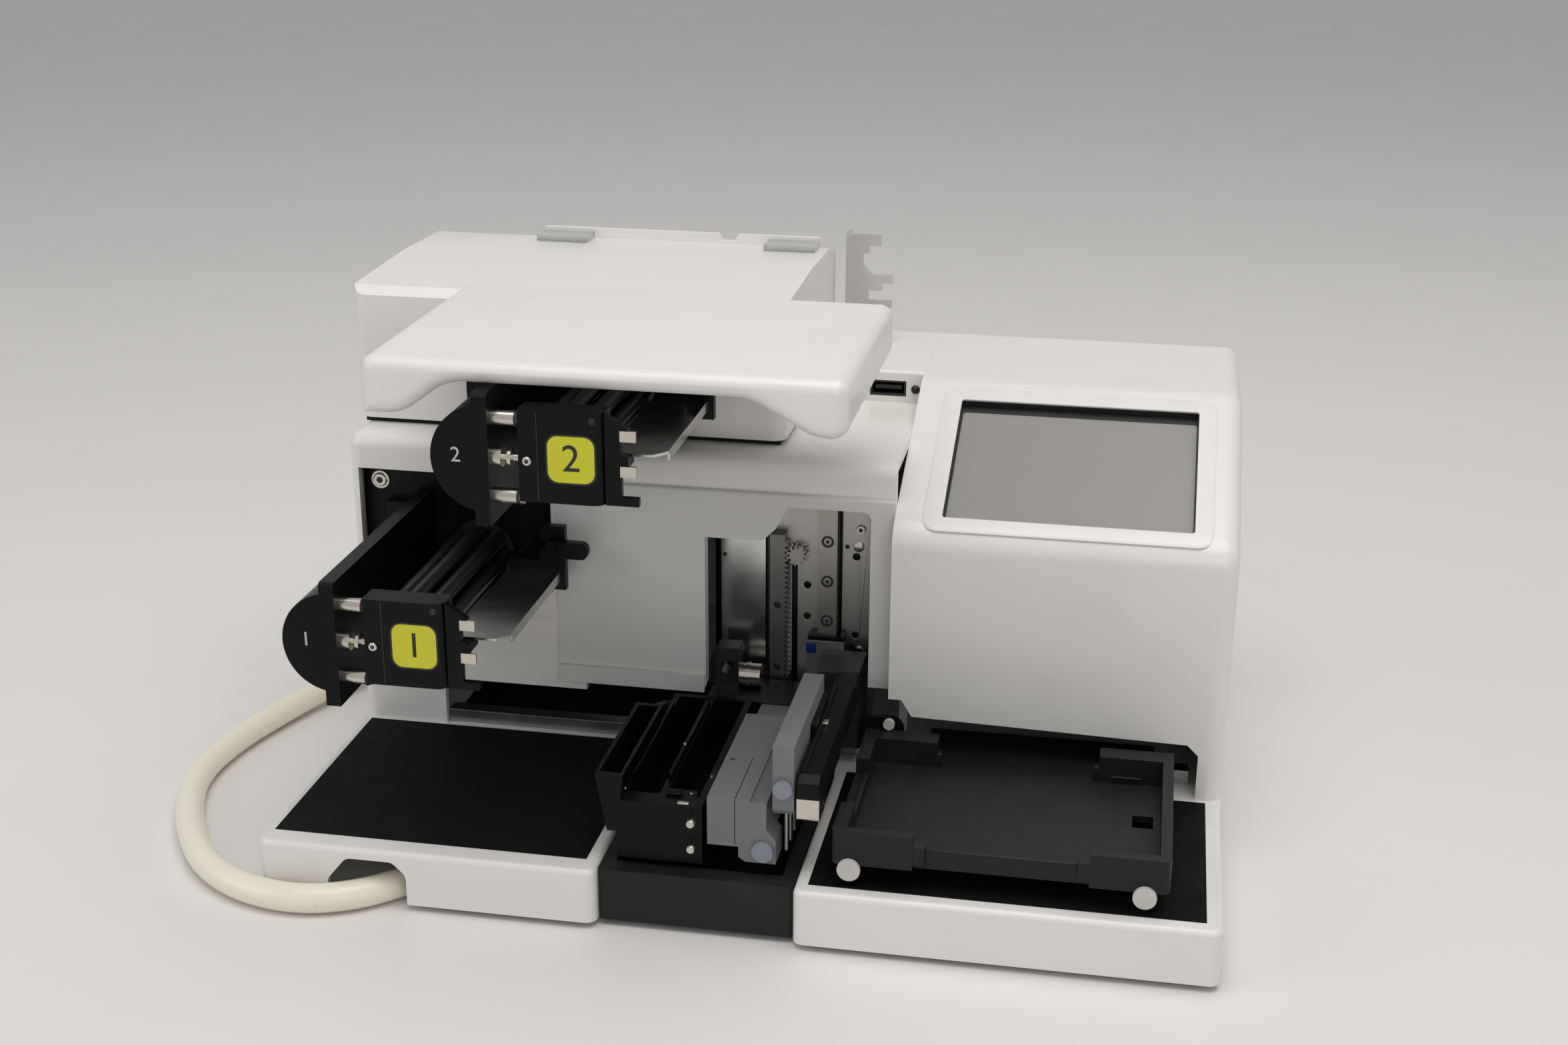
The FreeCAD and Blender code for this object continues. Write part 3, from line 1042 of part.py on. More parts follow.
def plate_carrier():
    n0, n1 = "nest_left", "nest_left + nest_long"
    f0, f1 = "nest_front", "nest_front + nest_wide"
    carrier = Moulding("plate_carrier")
    carrier.pad("top", box_outline("carrier_left", "carrier_right", "carrier_front",
                                   "carrier_back"), "carrier_low", "corner_top")
    carrier.cut("top", box_outline(n0, n1, f0, f1), "nest_floor", "corner_top")
    # between the corners the walls are lower, and open at the front and the back
    for x0, x1, y0, y1, z in (
            ("nest_left + corner_long", "nest_left + nest_long - corner_long",
             "carrier_front", f0, "rim_top"),
            ("nest_left + corner_long", "nest_left + nest_long - corner_long", f1,
             "carrier_back", "nest_floor"),
            ("carrier_left", n0, "nest_front + corner_wide",
             "nest_front + nest_wide - corner_wide", "rim_top")):
        carrier.cut("top", box_outline(x0, x1, y0, y1), z, "corner_top")
    carrier.cut("top", box_outline(n0 + " + corner_long", n1 + " - corner_long",
                                   "carrier_front", "carrier_front + 3"),
                "carrier_low", "rim_top")
    carrier.cut("top", box_outline("carrier_right - 16.8", "carrier_right - 7.8",
                                   "carrier_front + 50", "carrier_front + 61"),
                "carrier_low", "nest_floor")
    for x in STUDS:
        carrier.pad("top", box_outline(x + " - 4", x + " + 4", "carrier_front", "carrier_front + 6"),
                    "stud_height - 4", "carrier_low")
    carrier.pad("top", box_outline("carrier_left + 27", "carrier_right - 8.3", "carrier_back",
                                   "x_rail_front + x_rail_deep + 2"),
                "carrier_low", "nest_floor")
    carrier.round("3", "z", {"x": "carrier_left", "y": "carrier_front"},
                  {"x": "carrier_right", "y": "carrier_front"})
    carrier.done()
    studs = [rod("stud", "y", "stud_radius", (x, "stud_height"),
                 ("carrier_front - 1.6", "carrier_front")) for x in STUDS]
    slider = Moulding("carrier_slider")
    r0, r1 = "x_rail_front", "x_rail_front + x_rail_deep"
    slider.pad("side", [(r0 + " - 3", "carrier_low"), (r0 + " - 3", "tray_top + 1"),
                        (r0 + " - slide_play", "tray_top + 1"),
                        (r0 + " - slide_play", "x_rail_top + slide_play"),
                        (r1 + " + slide_play", "x_rail_top + slide_play"),
                        (r1 + " + slide_play", "tray_top + 1"), (r1 + " + 3", "tray_top + 1"),
                        (r1 + " + 3", "carrier_low")], "carrier_left + 39", "carrier_right - 20.3")
    rail = block("x_rail", ("x_rail_left", "x_rail_right"), (r0, r1),
                 ("tray_top", "x_rail_top"))
    keep("x_rail", rail)
    latch = Moulding("carrier_bracket")
    latch.pad("front", box_outline("carrier_left - 4", "carrier_left + 17", "carrier_low",
                                   "notch_top + 1"),
              "carrier_back", "carrier_back + 3")
    latch.round("6", "y", {"x": "carrier_left + 17", "z": "notch_top + 1"},
                {"x": "carrier_left - 4", "z": "notch_top + 1"})
    knobs = [rod("knob", "y", radius, centre, ("carrier_back - 2", "carrier_back"))
             for radius, centre in (("1.7", ("carrier_left - 2.2", "carrier_low + 3")),
                                    ("2.6", ("carrier_left + 10.5", "corner_top + 3.2")))]
    keep("carrier_slider", group("carrier_slider_set", [slider.body, latch.body]))
    keep("carrier_hardware", group("carrier_hardware", studs + knobs))


plate_carrier()


# Back of the case: panel with vents, power inlet, rocker switch, supply and board.

def rear():
    front = "total_deep - rear_thick"
    panel = Moulding("rear_panel")
    panel.pad("front", [(LEFT, "tray_top"), ("left_tray_edge + well_gap", "tray_top"),
                        ("left_tray_edge + well_gap", "foot_high"),
                        ("right_tray_edge - well_gap", "foot_high"),
                        ("right_tray_edge - well_gap", "tray_top"), (RIGHT, "tray_top"),
                        (RIGHT, "right_top"), ("step_left", "right_top"),
                        ("step_left", "left_top"), (LEFT, "left_top")], front, "total_deep")
    panel.cut("front", box_outline("inlet_x - inlet_wide / 2", "inlet_x + inlet_wide / 2",
                                   "inlet_z - inlet_high / 2", "inlet_z + inlet_high / 2"),
              front, "total_deep")
    panel.cut("front", box_outline("switch_x - switch_wide / 2", "switch_x + switch_wide / 2",
                                   "inlet_z - switch_high / 2", "inlet_z + switch_high / 2"),
              front, "total_deep")
    for index in range(int(SIZES["vent_count"])):
        x = "vent_x + %d * vent_pitch" % index
        panel.cut("front", box_outline(x, x + " + vent_wide", "vent_z", "vent_z + vent_high"),
                  front, "total_deep")
    panel.done()
    inlet = Moulding("power_inlet")
    inlet.pad("front", box_outline("inlet_x - inlet_wide / 2 + 0.2",
                                   "inlet_x + inlet_wide / 2 - 0.2",
                                   "inlet_z - inlet_high / 2 + 0.2",
                                   "inlet_z + inlet_high / 2 - 0.2"),
              "total_deep - inlet_deep", "total_deep")
    inlet.pad("front", box_outline("inlet_x - inlet_wide / 2 - 3", "inlet_x + inlet_wide / 2 + 3",
                                   "inlet_z - inlet_high / 2 - 2", "inlet_z + inlet_high / 2 + 2"),
              "total_deep", "total_deep + 1.5")
    inlet.cut("front", box_outline("inlet_x - inlet_wide / 2 + 2.5",
                                   "inlet_x + inlet_wide / 2 - 2.5",
                                   "inlet_z - inlet_high / 2 + 2.5",
                                   "inlet_z + inlet_high / 2 - 2.5"),
              "total_deep - 15", "total_deep + 1.5")
    inlet.done()
    frame = Moulding("switch_frame")
    s0, s1 = "switch_x - switch_wide / 2", "switch_x + switch_wide / 2"
    z0, z1 = "inlet_z - switch_high / 2", "inlet_z + switch_high / 2"
    frame.pad("front", box_outline(s0 + " + 0.2", s1 + " - 0.2", z0 + " + 0.2", z1 + " - 0.2"),
              "total_deep - 16", "total_deep")
    frame.pad("front", box_outline(s0 + " - 2", s1 + " + 2", z0 + " - 2", z1 + " + 2"),
              "total_deep", "total_deep + 1.5")
    frame.cut("front", box_outline(s0 + " + 2", s1 + " - 2", z0 + " + 2", z1 + " - 2"),
              "total_deep - 11", "total_deep + 1.5")
    rocker = Moulding("rocker_body")
    axle = "total_deep - rocker_deep / 2"
    rocker.pad("side", [(axle + " - 2", "inlet_z - 6.8"), (axle + " + 5.2", "inlet_z - 5.6"),
                        (axle + " + 3.4", "inlet_z"), (axle + " + 2.6", "inlet_z + 7"),
                        (axle + " - 2", "inlet_z + 6.8"), (axle + " - 3", "inlet_z")],
               s0 + " + 2 + rocker_gap", s1 + " - 2 - rocker_gap")
    pin = rod("rocker_pin", "x", "1", (axle, "inlet_z"), (s0 + " + 1.5", s1 + " - 1.5"))
    keep("switch_frame", joined("switch_frame_set", [frame.body, pin]))
    hole = rod("rocker_hole", "x", "1 + shaft_gap", (axle, "inlet_z"),
               (s0 + " + 1", s1 + " - 1"))
    keep("power_rocker", minus("rocker_bored", rocker.body, [hole]))


rear()


# Waste hose along the bench: straight runs with rounded corners. The points are the distance
# inward from the left side, the depth and the height.

HOSE_ROUTE = [(-5.85, 260.5, 12.0), (-19.35, 252.7, 12.0), (-29.85, 241.0, 11.2),
              (-39.35, 222.0, 9.8), (-49.85, 197.5, 8.2), (-62.35, 165.5, 6.9),
              (-71.85, 130.5, 6.7), (-73.85, 93.5, 6.7), (-60.85, 55.0, 6.7),
              (-36.85, 17.0, 6.7), (-14.85, -1.0, 6.7), (6.15, -8.9, 6.7),
              (25.65, -9.7, 6.7), (42.15, -3.7, 6.7), (55.65, 6.3, 6.7),
              (66.15, 18.0, 6.7)]


def waste_hose():
    corner = FreeCAD.Vector(-SIZES["total_wide"] / 2, -SIZES["total_deep"] / 2, 0)
    points = [corner + FreeCAD.Vector(*place) for place in HOSE_ROUTE]
    runs = [(points[i + 1] - points[i]).Length for i in range(len(points) - 1)]
    edges = []
    here = points[0]
    for i in range(1, len(points) - 1):
        before = (points[i] - points[i - 1]).normalize()
        after = (points[i + 1] - points[i]).normalize()
        turn = before.getAngle(after)
        cut_back = 0.45 * min(runs[i - 1], runs[i])
        radius = cut_back / math.tan(turn / 2)
        print("hose corner %d radius %.0f mm" % (i, radius))
        arc_start = points[i] - before * cut_back
        arc_end = points[i] + after * cut_back
        inward = (after - before).normalize()
        middle = points[i] + inward * (radius / math.cos(turn / 2) - radius)
        edges.append(Part.LineSegment(here, arc_start).toShape())
        edges.append(Part.Arc(arc_start, middle, arc_end).toShape())
        here = arc_end
    edges.append(Part.LineSegment(here, points[-1]).toShape())
    path = Part.Wire(edges)
    radius = SIZES["hose_radius"]
    ring = Part.Wire(Part.makeCircle(radius, points[0], points[1] - points[0]))
    tube = path.makePipeShell([ring], True, True)
    print("hose length %.1f mm" % path.Length)
    share = tube.Volume / (math.pi * radius ** 2 * path.Length)
    if abs(share - 1) > 0.01:
        raise ValueError("hose volume is %.3f of its section times its length" % share)
    feature = doc.addObject("Part::Feature", "waste_hose")
    feature.Shape = tube
    keep("waste_hose", feature)
    # the outlet is a flange on the tray's side with a stub that points along the hose
    side = -SIZES["total_wide"] / 2
    inward = (points[0] - points[1]).normalize()
    reach = (side - points[0].x) / inward.x
    flange = Part.makeBox(SIZES["flange_thick"], 20, 17, FreeCAD.Vector(
        side - SIZES["flange_thick"], points[0].y + inward.y * reach - 10, points[0].z - 8))
    stub = Part.makeCylinder(SIZES["barb_radius"], reach + SIZES["barb_radius"], points[0],
                             inward)
    case_side = Part.makeBox(4 * reach, 8 * reach, 8 * reach, FreeCAD.Vector(
        side, points[0].y - 4 * reach, points[0].z - 4 * reach))
    outlet = doc.addObject("Part::Feature", "hose_coupling")
    outlet.Shape = flange.fuse(stub).cut(case_side)
    keep("hose_coupling", outlet)
    onward = (points[-1] - points[-2]).normalize()
    socket = Part.makeCylinder(radius + 0.1, 12.0, points[-1], onward)
    stem_place = points[-1] + onward * 6
    stem = Part.makeCylinder(4.0, SIZES["tray_top"] - SIZES["wall"] - stem_place.z,
                             stem_place, FreeCAD.Vector(0, 0, 1))
    drain = doc.addObject("Part::Feature", "drain_fitting")
    drain.Shape = socket.fuse(stem)
    keep("drain_fitting", drain)


waste_hose()


def export():
    doc.recompute()
    faults = []
    for thing in doc.Objects:
        if "Invalid" in thing.State or "Error" in thing.State:
            faults.append(thing.Name)
    for name, thing in nodes.items():
        if thing.Shape.isNull() or not thing.Shape.isValid() or not thing.Shape.Solids:
            faults.append(name)
    if faults:
        raise RuntimeError("these did not build: " + ", ".join(faults))
    if len(nodes) > 60:
        raise RuntimeError("%d nodes are too many" % len(nodes))
    os.makedirs("parts", exist_ok=True)
    for name, thing in nodes.items():
        thing.Shape.exportStep("parts/%s.step" % name)
    print("%d nodes written" % len(nodes))


export()
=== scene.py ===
# %% [markdown]
# A bench dispenser for microplates: two stacked roller pumps on the left, a lifting head with
# dispensing arms in the middle, a sliding plate carrier on the right under a sloping display.
# The measured solids come first. They are never moved, so every finish and small fitting that
# follows is placed with the same numbers that the solids were made from.

# %% Load the measured solids
import math
import bmesh
import bpy
from mathutils import Matrix, Vector


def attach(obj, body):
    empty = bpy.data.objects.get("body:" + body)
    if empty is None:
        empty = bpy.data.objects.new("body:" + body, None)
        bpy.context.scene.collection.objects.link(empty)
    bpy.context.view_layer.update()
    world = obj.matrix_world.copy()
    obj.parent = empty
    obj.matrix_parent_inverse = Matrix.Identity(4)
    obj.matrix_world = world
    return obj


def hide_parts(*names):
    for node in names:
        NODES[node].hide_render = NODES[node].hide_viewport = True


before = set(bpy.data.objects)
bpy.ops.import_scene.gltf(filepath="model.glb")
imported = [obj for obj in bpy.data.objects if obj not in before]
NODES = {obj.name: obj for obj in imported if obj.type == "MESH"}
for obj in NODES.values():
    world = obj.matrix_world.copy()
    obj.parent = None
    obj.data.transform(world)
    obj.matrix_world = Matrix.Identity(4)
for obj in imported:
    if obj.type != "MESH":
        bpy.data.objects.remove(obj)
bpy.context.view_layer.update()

# %% [markdown]
# Places are written as (x, depth, height) in millimetres, with the depth counted from the front
# edge of the trays, because that is how one reads them off the real machine with a rule. Each
# new piece also gets its finish in a material slot of its own.

# %% Places and pieces
DEPTH = 307.0


def at(x, depth, height):
    """A place on the machine, in metres."""
    return Vector((x, depth - DEPTH / 2, height)) / 1000.0


def link(thing):
    """Put an object into the scene."""
    bpy.context.scene.collection.objects.link(thing)
    return thing


def piece(name, mesh, body, finish):
    """An object with one finish and its slot, that rides on a body of the machine."""
    thing = link(bpy.data.objects.new(name, mesh))
    mesh.materials.clear()
    mesh.materials.append(finish)
    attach(thing, body)
    return thing


print("front left corner of the case", [round(v, 4) for v in at(-206.65, 0, 28)])

# %% [markdown]
# The camera stands to the right of the middle and looks down and to the left. It could be aimed
# by hand, but its place and turn come from solving the view with the standard microplate nest
# as the ruler, so that every edge lands where it was measured.

# %% Camera
EYE = Vector((0.16194, -0.89669, 0.46314))
RIGHT = Vector((0.98337, 0.18154, 0.00486))
UP = Vector((-0.06604, 0.33256, 0.94077))
AHEAD = Vector((-0.16917, 0.92545, -0.33902))
lens = bpy.data.cameras.new("viewpoint")
lens.sensor_width = 36.0
lens.lens = 47.38
lens.clip_start, lens.clip_end = 0.01, 40.0
camera = link(bpy.data.objects.new("viewpoint", lens))
camera.matrix_world = Matrix((*zip(RIGHT, UP, -AHEAD, EYE), (0, 0, 0, 1)))
bpy.context.scene.camera = camera
bpy.context.scene.view_settings.view_transform = "Standard"
print("lens", lens.lens, "mm")

# %% [markdown]
# Shaders are graphs of nodes that are joined by their sockets. One helper makes a node, sets it
# and wires it, so that a finish later reads as a list of what feeds what.

# %% A small helper for wiring nodes


def add(tree, kind, settings=None, sockets=None):
    """A node with its settings, and sockets that take a value or another node's output."""
    node = tree.nodes.new("ShaderNode" + kind)
    for key, value in (settings or {}).items():
        setattr(node, key, value)
    for key, value in (sockets or {}).items():
        socket = node.inputs[key]
        if isinstance(value, bpy.types.NodeSocket):
            tree.links.new(value, socket)
        else:
            socket.default_value = value
    return node


print("wiring helper ready")

# %% [markdown]
# The surroundings stay pale so that metal has something to mirror. The camera, mirrors and
# glass see them as plain pale grey, while the light that they give to matt surfaces is weaker,
# so that the lamps still shape the forms. The kind of ray decides between the two.

# %% Surroundings
world = bpy.data.worlds.new("pale_room")
bpy.context.scene.world = world
world.use_nodes = True
room = world.node_tree
room.nodes.clear()
room_path = add(room, "LightPath")
room_light = add(room, "Background", {}, {"Color": (0.96, 0.96, 1.0, 1), "Strength": 0.33})
room_seen = add(room, "Background", {}, {"Color": (0.52, 0.51, 0.495, 1), "Strength": 1.0})
rays = room_path.outputs["Is Camera Ray"]
for kind in ("Is Glossy Ray", "Is Transmission Ray"):
    either = add(room, "Math", {"operation": "MAXIMUM"}, {0: rays, 1: room_path.outputs[kind]})
    rays = either.outputs["Value"]
room_mix = add(room, "MixShader", {}, {
    "Fac": rays, 1: room_light.outputs["Background"], 2: room_seen.outputs["Background"]})
add(room, "OutputWorld", {}, {"Surface": room_mix.outputs["Shader"]})
print("surroundings", world.name)

# %% [markdown]
# Light on a bench is mostly the ceiling. One wide lamp hangs above and a little in front, and
# weaker ones fill from the left and the front. Large lamps give the soft shadows of a lit room.

# %% Lamps
MIDDLE = (0.0, 0.0, 0.1)


def hang_lamp(name, place, aim, size, watts, tint):
    """A rectangular soft lamp that faces a point."""
    light = bpy.data.lights.new(name, "AREA")
    light.shape = "RECTANGLE"
    light.size, light.size_y = size
    light.energy = watts
    light.color = tint
    lamp = link(bpy.data.objects.new(name, light))
    lamp.location = place
    lamp.rotation_euler = (Vector(aim) - Vector(place)).to_track_quat("-Z", "Y").to_euler()


hang_lamp("ceiling", (0.25, -0.25, 1.9), MIDDLE, (1.9, 1.5), 23.5, (1.0, 0.975, 0.94))
hang_lamp("left_fill", (-1.7, -1.0, 1.0), MIDDLE, (1.2, 1.2), 7.0, (0.98, 0.98, 1.0))
hang_lamp("front_fill", (0.9, -1.9, 0.9), (0.05, 0.0, 0.1), (1.4, 1.0), 5.5, (1.0, 0.98, 0.95))
print("lamps", len(bpy.data.lights))

# %% [markdown]
# Surface effects that several finishes share are built once, as node groups with named inputs
# and outputs. A finish then places a group and gives it values of its own.

# %% Helpers for shared effects


def effect(name, inputs, outputs):
    """An empty shader node group with number inputs and outputs."""
    tree = bpy.data.node_groups.new(name, "ShaderNodeTree")
    for label, default in inputs:
        socket = tree.interface.new_socket(label, in_out="INPUT", socket_type="NodeSocketFloat")
        socket.default_value = default
    for label in outputs:
        tree.interface.new_socket(label, in_out="OUTPUT", socket_type="NodeSocketFloat")
    return tree, tree.nodes.new("NodeGroupInput"), tree.nodes.new("NodeGroupOutput")


def use(tree, group, sockets):
    """One of the shared effects, placed in a finish."""
    node = tree.nodes.new("ShaderNodeGroup")
    node.node_tree = group
    for key, value in sockets.items():
        node.inputs[key].default_value = value
    return node


print("effect helpers ready")

# %% [markdown]
# A moulding tool is blasted, and the plastic copies its fine grain. A picture of grain would
# need every piece laid out flat, while noise in the object's own space needs nothing, so a fine
# noise and rounded cells are added up to a height.

# %% Shared effect: tool grain
grain, grain_in, grain_out = effect("tool grain", [("Scale", 900.0)], ["Height"])
grain_place = add(grain, "TexCoord")
grain_fine = add(grain, "TexNoise", {"noise_dimensions": "3D"}, {
    "Vector": grain_place.outputs["Object"], "Scale": grain_in.outputs["Scale"],
    "Detail": 2.0, "Roughness": 0.6})
grain_cells = add(grain, "TexVoronoi", {"feature": "SMOOTH_F1"}, {
    "Vector": grain_place.outputs["Object"], "Scale": grain_in.outputs["Scale"]})
grain_sum = add(grain, "Math", {"operation": "MULTIPLY_ADD"}, {
    0: grain_cells.outputs["Distance"], 1: 0.6, 2: grain_fine.outputs["Fac"]})
grain.links.new(grain_sum.outputs["Value"], grain_out.inputs["Height"])
print("group", grain.name)

# %% [markdown]
# Hands leave a surface shinier in some places than in others. One wide noise gives both the
# roughness and a mask for the worn colour, so that the two change together.

# %% Shared effect: handling marks
marks, marks_in, marks_out = effect(
    "handling marks", [("Scale", 14.0), ("Low", 0.3), ("High", 0.45)], ["Roughness", "Mask"])
marks_place = add(marks, "TexCoord")
marks_wide = add(marks, "TexNoise", {}, {
    "Vector": marks_place.outputs["Object"], "Scale": marks_in.outputs["Scale"],
    "Detail": 5.0, "Roughness": 0.62, "Distortion": 0.6})
marks_range = add(marks, "MapRange", {"interpolation_type": "SMOOTHSTEP"}, {
    "Value": marks_wide.outputs["Fac"], "From Min": 0.3, "From Max": 0.7,
    "To Min": marks_in.outputs["Low"], "To Max": marks_in.outputs["High"]})
marks_mask = add(marks, "MapRange", {"interpolation_type": "SMOOTHSTEP"}, {
    "Value": marks_wide.outputs["Fac"], "From Min": 0.48, "From Max": 0.72,
    "To Min": 0.0, "To Max": 1.0})
marks.links.new(marks_range.outputs["Result"], marks_out.inputs["Roughness"])
marks.links.new(marks_mask.outputs["Result"], marks_out.inputs["Mask"])
print("group", marks.name)

# %% [markdown]
# Brushed and ground metal shows fine lines along one way. A noise that is stretched by another
# factor along each axis draws them, both as relief and as a slight change of tone.

# %% Shared effect: brushed lines
brush, brush_in, brush_out = effect(
    "brushed lines", [("Along X", 1.0), ("Along Y", 1.0), ("Along Z", 1.0)],
    ["Height", "Tone"])
brush_place = add(brush, "TexCoord")
brush_stretch = add(brush, "CombineXYZ", {}, {
    "X": brush_in.outputs["Along X"], "Y": brush_in.outputs["Along Y"],
    "Z": brush_in.outputs["Along Z"]})
brush_scaled = add(brush, "VectorMath", {"operation": "MULTIPLY"}, {
    0: brush_place.outputs["Object"], 1: brush_stretch.outputs["Vector"]})
brush_lines = add(brush, "TexNoise", {}, {
    "Vector": brush_scaled.outputs["Vector"], "Scale": 1.0, "Detail": 4.0, "Roughness": 0.7})
brush.links.new(brush_lines.outputs["Fac"], brush_out.inputs["Height"])
brush.links.new(brush_lines.outputs["Fac"], brush_out.inputs["Tone"])
print("group", brush.name)

# %% [markdown]
# Dust settles thinly, in clouds, on faces that look up. The upward part of a face's normal says
# where it may lie, and a noise breaks it up.

# %% Shared effect: settled dust
dust, dust_in, dust_out = effect("settled dust", [("Amount", 0.2)], ["Mask"])
dust_face = add(dust, "NewGeometry")
dust_axes = add(dust, "SeparateXYZ", {}, {"Vector": dust_face.outputs["Normal"]})
dust_up = add(dust, "MapRange", {"interpolation_type": "SMOOTHSTEP"}, {
    "Value": dust_axes.outputs["Z"], "From Min": 0.55, "From Max": 1.0,
    "To Min": 0.0, "To Max": dust_in.outputs["Amount"]})
dust_place = add(dust, "TexCoord")
dust_cloud = add(dust, "TexNoise", {}, {
    "Vector": dust_place.outputs["Object"], "Scale": 55.0, "Detail": 8.0, "Roughness": 0.72})
dust_spots = add(dust, "MapRange", {"interpolation_type": "SMOOTHSTEP"}, {
    "Value": dust_cloud.outputs["Fac"], "From Min": 0.35, "From Max": 0.75,
    "To Min": 0.15, "To Max": 1.0})
dust_mask = add(dust, "Math", {"operation": "MULTIPLY"}, {
    0: dust_up.outputs["Result"], 1: dust_spots.outputs["Result"]})
dust.links.new(dust_mask.outputs["Value"], dust_out.inputs["Mask"])
print("group", dust.name)

# %% [markdown]
# Every finish is a Principled shader fed by those groups. Moulded plastic and painted mouldings
# need the same things: a colour that wears, an uneven gloss, fine relief and a little dust. The
# shader's own sockets take whatever is the same all over.

# %% Finish maker: plastic
RELIEF = 0.0002
DUST_TONE = (0.42, 0.40, 0.37, 1)


def blank_finish(name):
    """A material with a bare Principled shader: (material, tree, shader)."""
    finish = bpy.data.materials.new(name)
    finish.use_nodes = True
    tree = finish.node_tree
    return finish, tree, tree.nodes["Principled BSDF"]


def two_tones(tree, mask, first, second):
    """A colour that goes from first to second with a mask."""
    mix = add(tree, "Mix", {"data_type": "RGBA"}, {
        "Factor": mask, 6: (*first, 1), 7: (*second, 1)})
    return mix.outputs[2]


def wire(tree, shader, colour, roughness, height, strength):
    """Lead a colour, a roughness and a relief into the shader."""
    relief = add(tree, "Bump", {}, {"Strength": strength, "Distance": RELIEF, "Height": height})
    tree.links.new(colour, shader.inputs["Base Color"])
    tree.links.new(roughness, shader.inputs["Roughness"])
    tree.links.new(relief.outputs["Normal"], shader.inputs["Normal"])


def plastic(name, colour, worn, gloss, grain_scale, grain_depth, dusty=0.0, coat=0.0,
            marks_scale=14.0, mirror=0.5):
    """Moulded or painted surface: grain, uneven gloss and a little dust."""
    finish, tree, shader = blank_finish(name)
    skin = use(tree, grain, {"Scale": grain_scale})
    touch = use(tree, marks, {"Scale": marks_scale, "Low": gloss[0], "High": gloss[1]})
    settled = use(tree, dust, {"Amount": dusty})
    clean = two_tones(tree, touch.outputs["Mask"], colour, worn)
    dusted = add(tree, "Mix", {"data_type": "RGBA"}, {
        "Factor": settled.outputs["Mask"], 6: clean, 7: DUST_TONE})
    wire(tree, shader, dusted.outputs[2], touch.outputs["Roughness"], skin.outputs["Height"],
         grain_depth)
    shader.inputs["Specular IOR Level"].default_value = mirror
    shader.inputs["Coat Weight"].default_value = coat
    shader.inputs["Coat Roughness"].default_value = 0.16
    return finish


print("plastic maker ready")

# %% [markdown]
# Bare, plated and oxidised metal share one maker as well. The drawn lines carry the relief and
# the two tones, and the handling marks vary the gloss.

# %% Finish maker: metal


def metal(name, colour, worn, gloss, stretch, depth):
    """Bare or plated metal with drawn lines along one way."""
    finish, tree, shader = blank_finish(name)
    lines = use(tree, brush, dict(zip(("Along X", "Along Y", "Along Z"), stretch)))
    touch = use(tree, marks, {"Scale": 22.0, "Low": gloss[0], "High": gloss[1]})
    tones = two_tones(tree, lines.outputs["Tone"], worn, colour)
    wire(tree, shader, tones, touch.outputs["Roughness"], lines.outputs["Height"], depth)
    shader.inputs["Metallic"].default_value = 1.0
    return finish


print("metal maker ready")

# %% [markdown]
# The shell is satin gloss paint over a moulding, so its relief is very low and a thin clear
# coat gives the long soft highlights. The mats and the well are much rougher and reflect little.

# %% Finishes of the case
SHELL = plastic("warm white shell", (0.80, 0.785, 0.755), (0.77, 0.755, 0.725), (0.30, 0.40),
                1400.0, 0.05, dusty=0.05, coat=0.22)
# The cover sheet is the shell's white made greyer: painted shade for the shadow that the hood
# casts on it.
COVER_PAINTED_SHADE = plastic("white cover sheet with painted shade", (0.67, 0.66, 0.635), (0.645, 0.635, 0.61), (0.36, 0.46),
                1400.0, 0.06, coat=0.1)
MAT = plastic("black tray mat", (0.0030, 0.0030, 0.0033), (0.0045, 0.0045, 0.005),
              (0.62, 0.78), 700.0, 0.35, dusty=0.004, marks_scale=30.0, mirror=0.12)
WELL = plastic("black well moulding", (0.0095, 0.0095, 0.010), (0.016, 0.016, 0.0165),
               (0.40, 0.58), 900.0, 0.2, dusty=0.01, marks_scale=24.0, mirror=0.28)
RUBBER = plastic("black rubber", (0.007, 0.007, 0.0075), (0.012, 0.012, 0.012), (0.6, 0.8),
                 500.0, 0.4, mirror=0.25)
print("finishes", len(bpy.data.materials))

# %% [markdown]
# The pumps are satin black, the carrier a slightly bluish charcoal, and two of the arms are
# blue grey. Black plastic keeps its form in a render only if it isn't fully black and mirrors
# little, so these colours stay just above zero.

# %% Finishes of the moving parts
BLACK = plastic("satin black housing", (0.0022, 0.0022, 0.0025), (0.0035, 0.0035, 0.004),
                (0.32, 0.44), 1500.0, 0.10, dusty=0.004, mirror=0.17)
CHARCOAL = plastic("charcoal carrier", (0.0080, 0.0083, 0.0095), (0.0105, 0.0108, 0.012),
                   (0.40, 0.54), 1100.0, 0.14, dusty=0.012, marks_scale=26.0, mirror=0.3)
GREY = plastic("blue grey arm", (0.165, 0.172, 0.184), (0.180, 0.187, 0.199), (0.42, 0.56),
               1000.0, 0.14, dusty=0.04, mirror=0.4)
BLUE = plastic("blue end seal", (0.004, 0.016, 0.14), (0.003, 0.012, 0.11), (0.34, 0.46),
               900.0, 0.1, mirror=0.3)
PAD = plastic("pale disc", (0.62, 0.60, 0.56), (0.50, 0.49, 0.46), (0.28, 0.44), 1200.0, 0.08)
print("finishes", len(bpy.data.materials))

# %% [markdown]
# Print is a thin layer of ink or foil. It takes the same maker, with hardly any relief.

# %% Finishes of the print
MARK = plastic("pale print", (0.52, 0.52, 0.50), (0.46, 0.46, 0.44), (0.5, 0.6), 900.0, 0.02)
YELLOW = plastic("yellow patch", (0.62, 0.60, 0.02), (0.56, 0.54, 0.02), (0.34, 0.44),
                 900.0, 0.03)
INK = plastic("black print", (0.012, 0.012, 0.012), (0.018, 0.018, 0.018), (0.42, 0.5),
              900.0, 0.02)
print("finishes", len(bpy.data.materials))

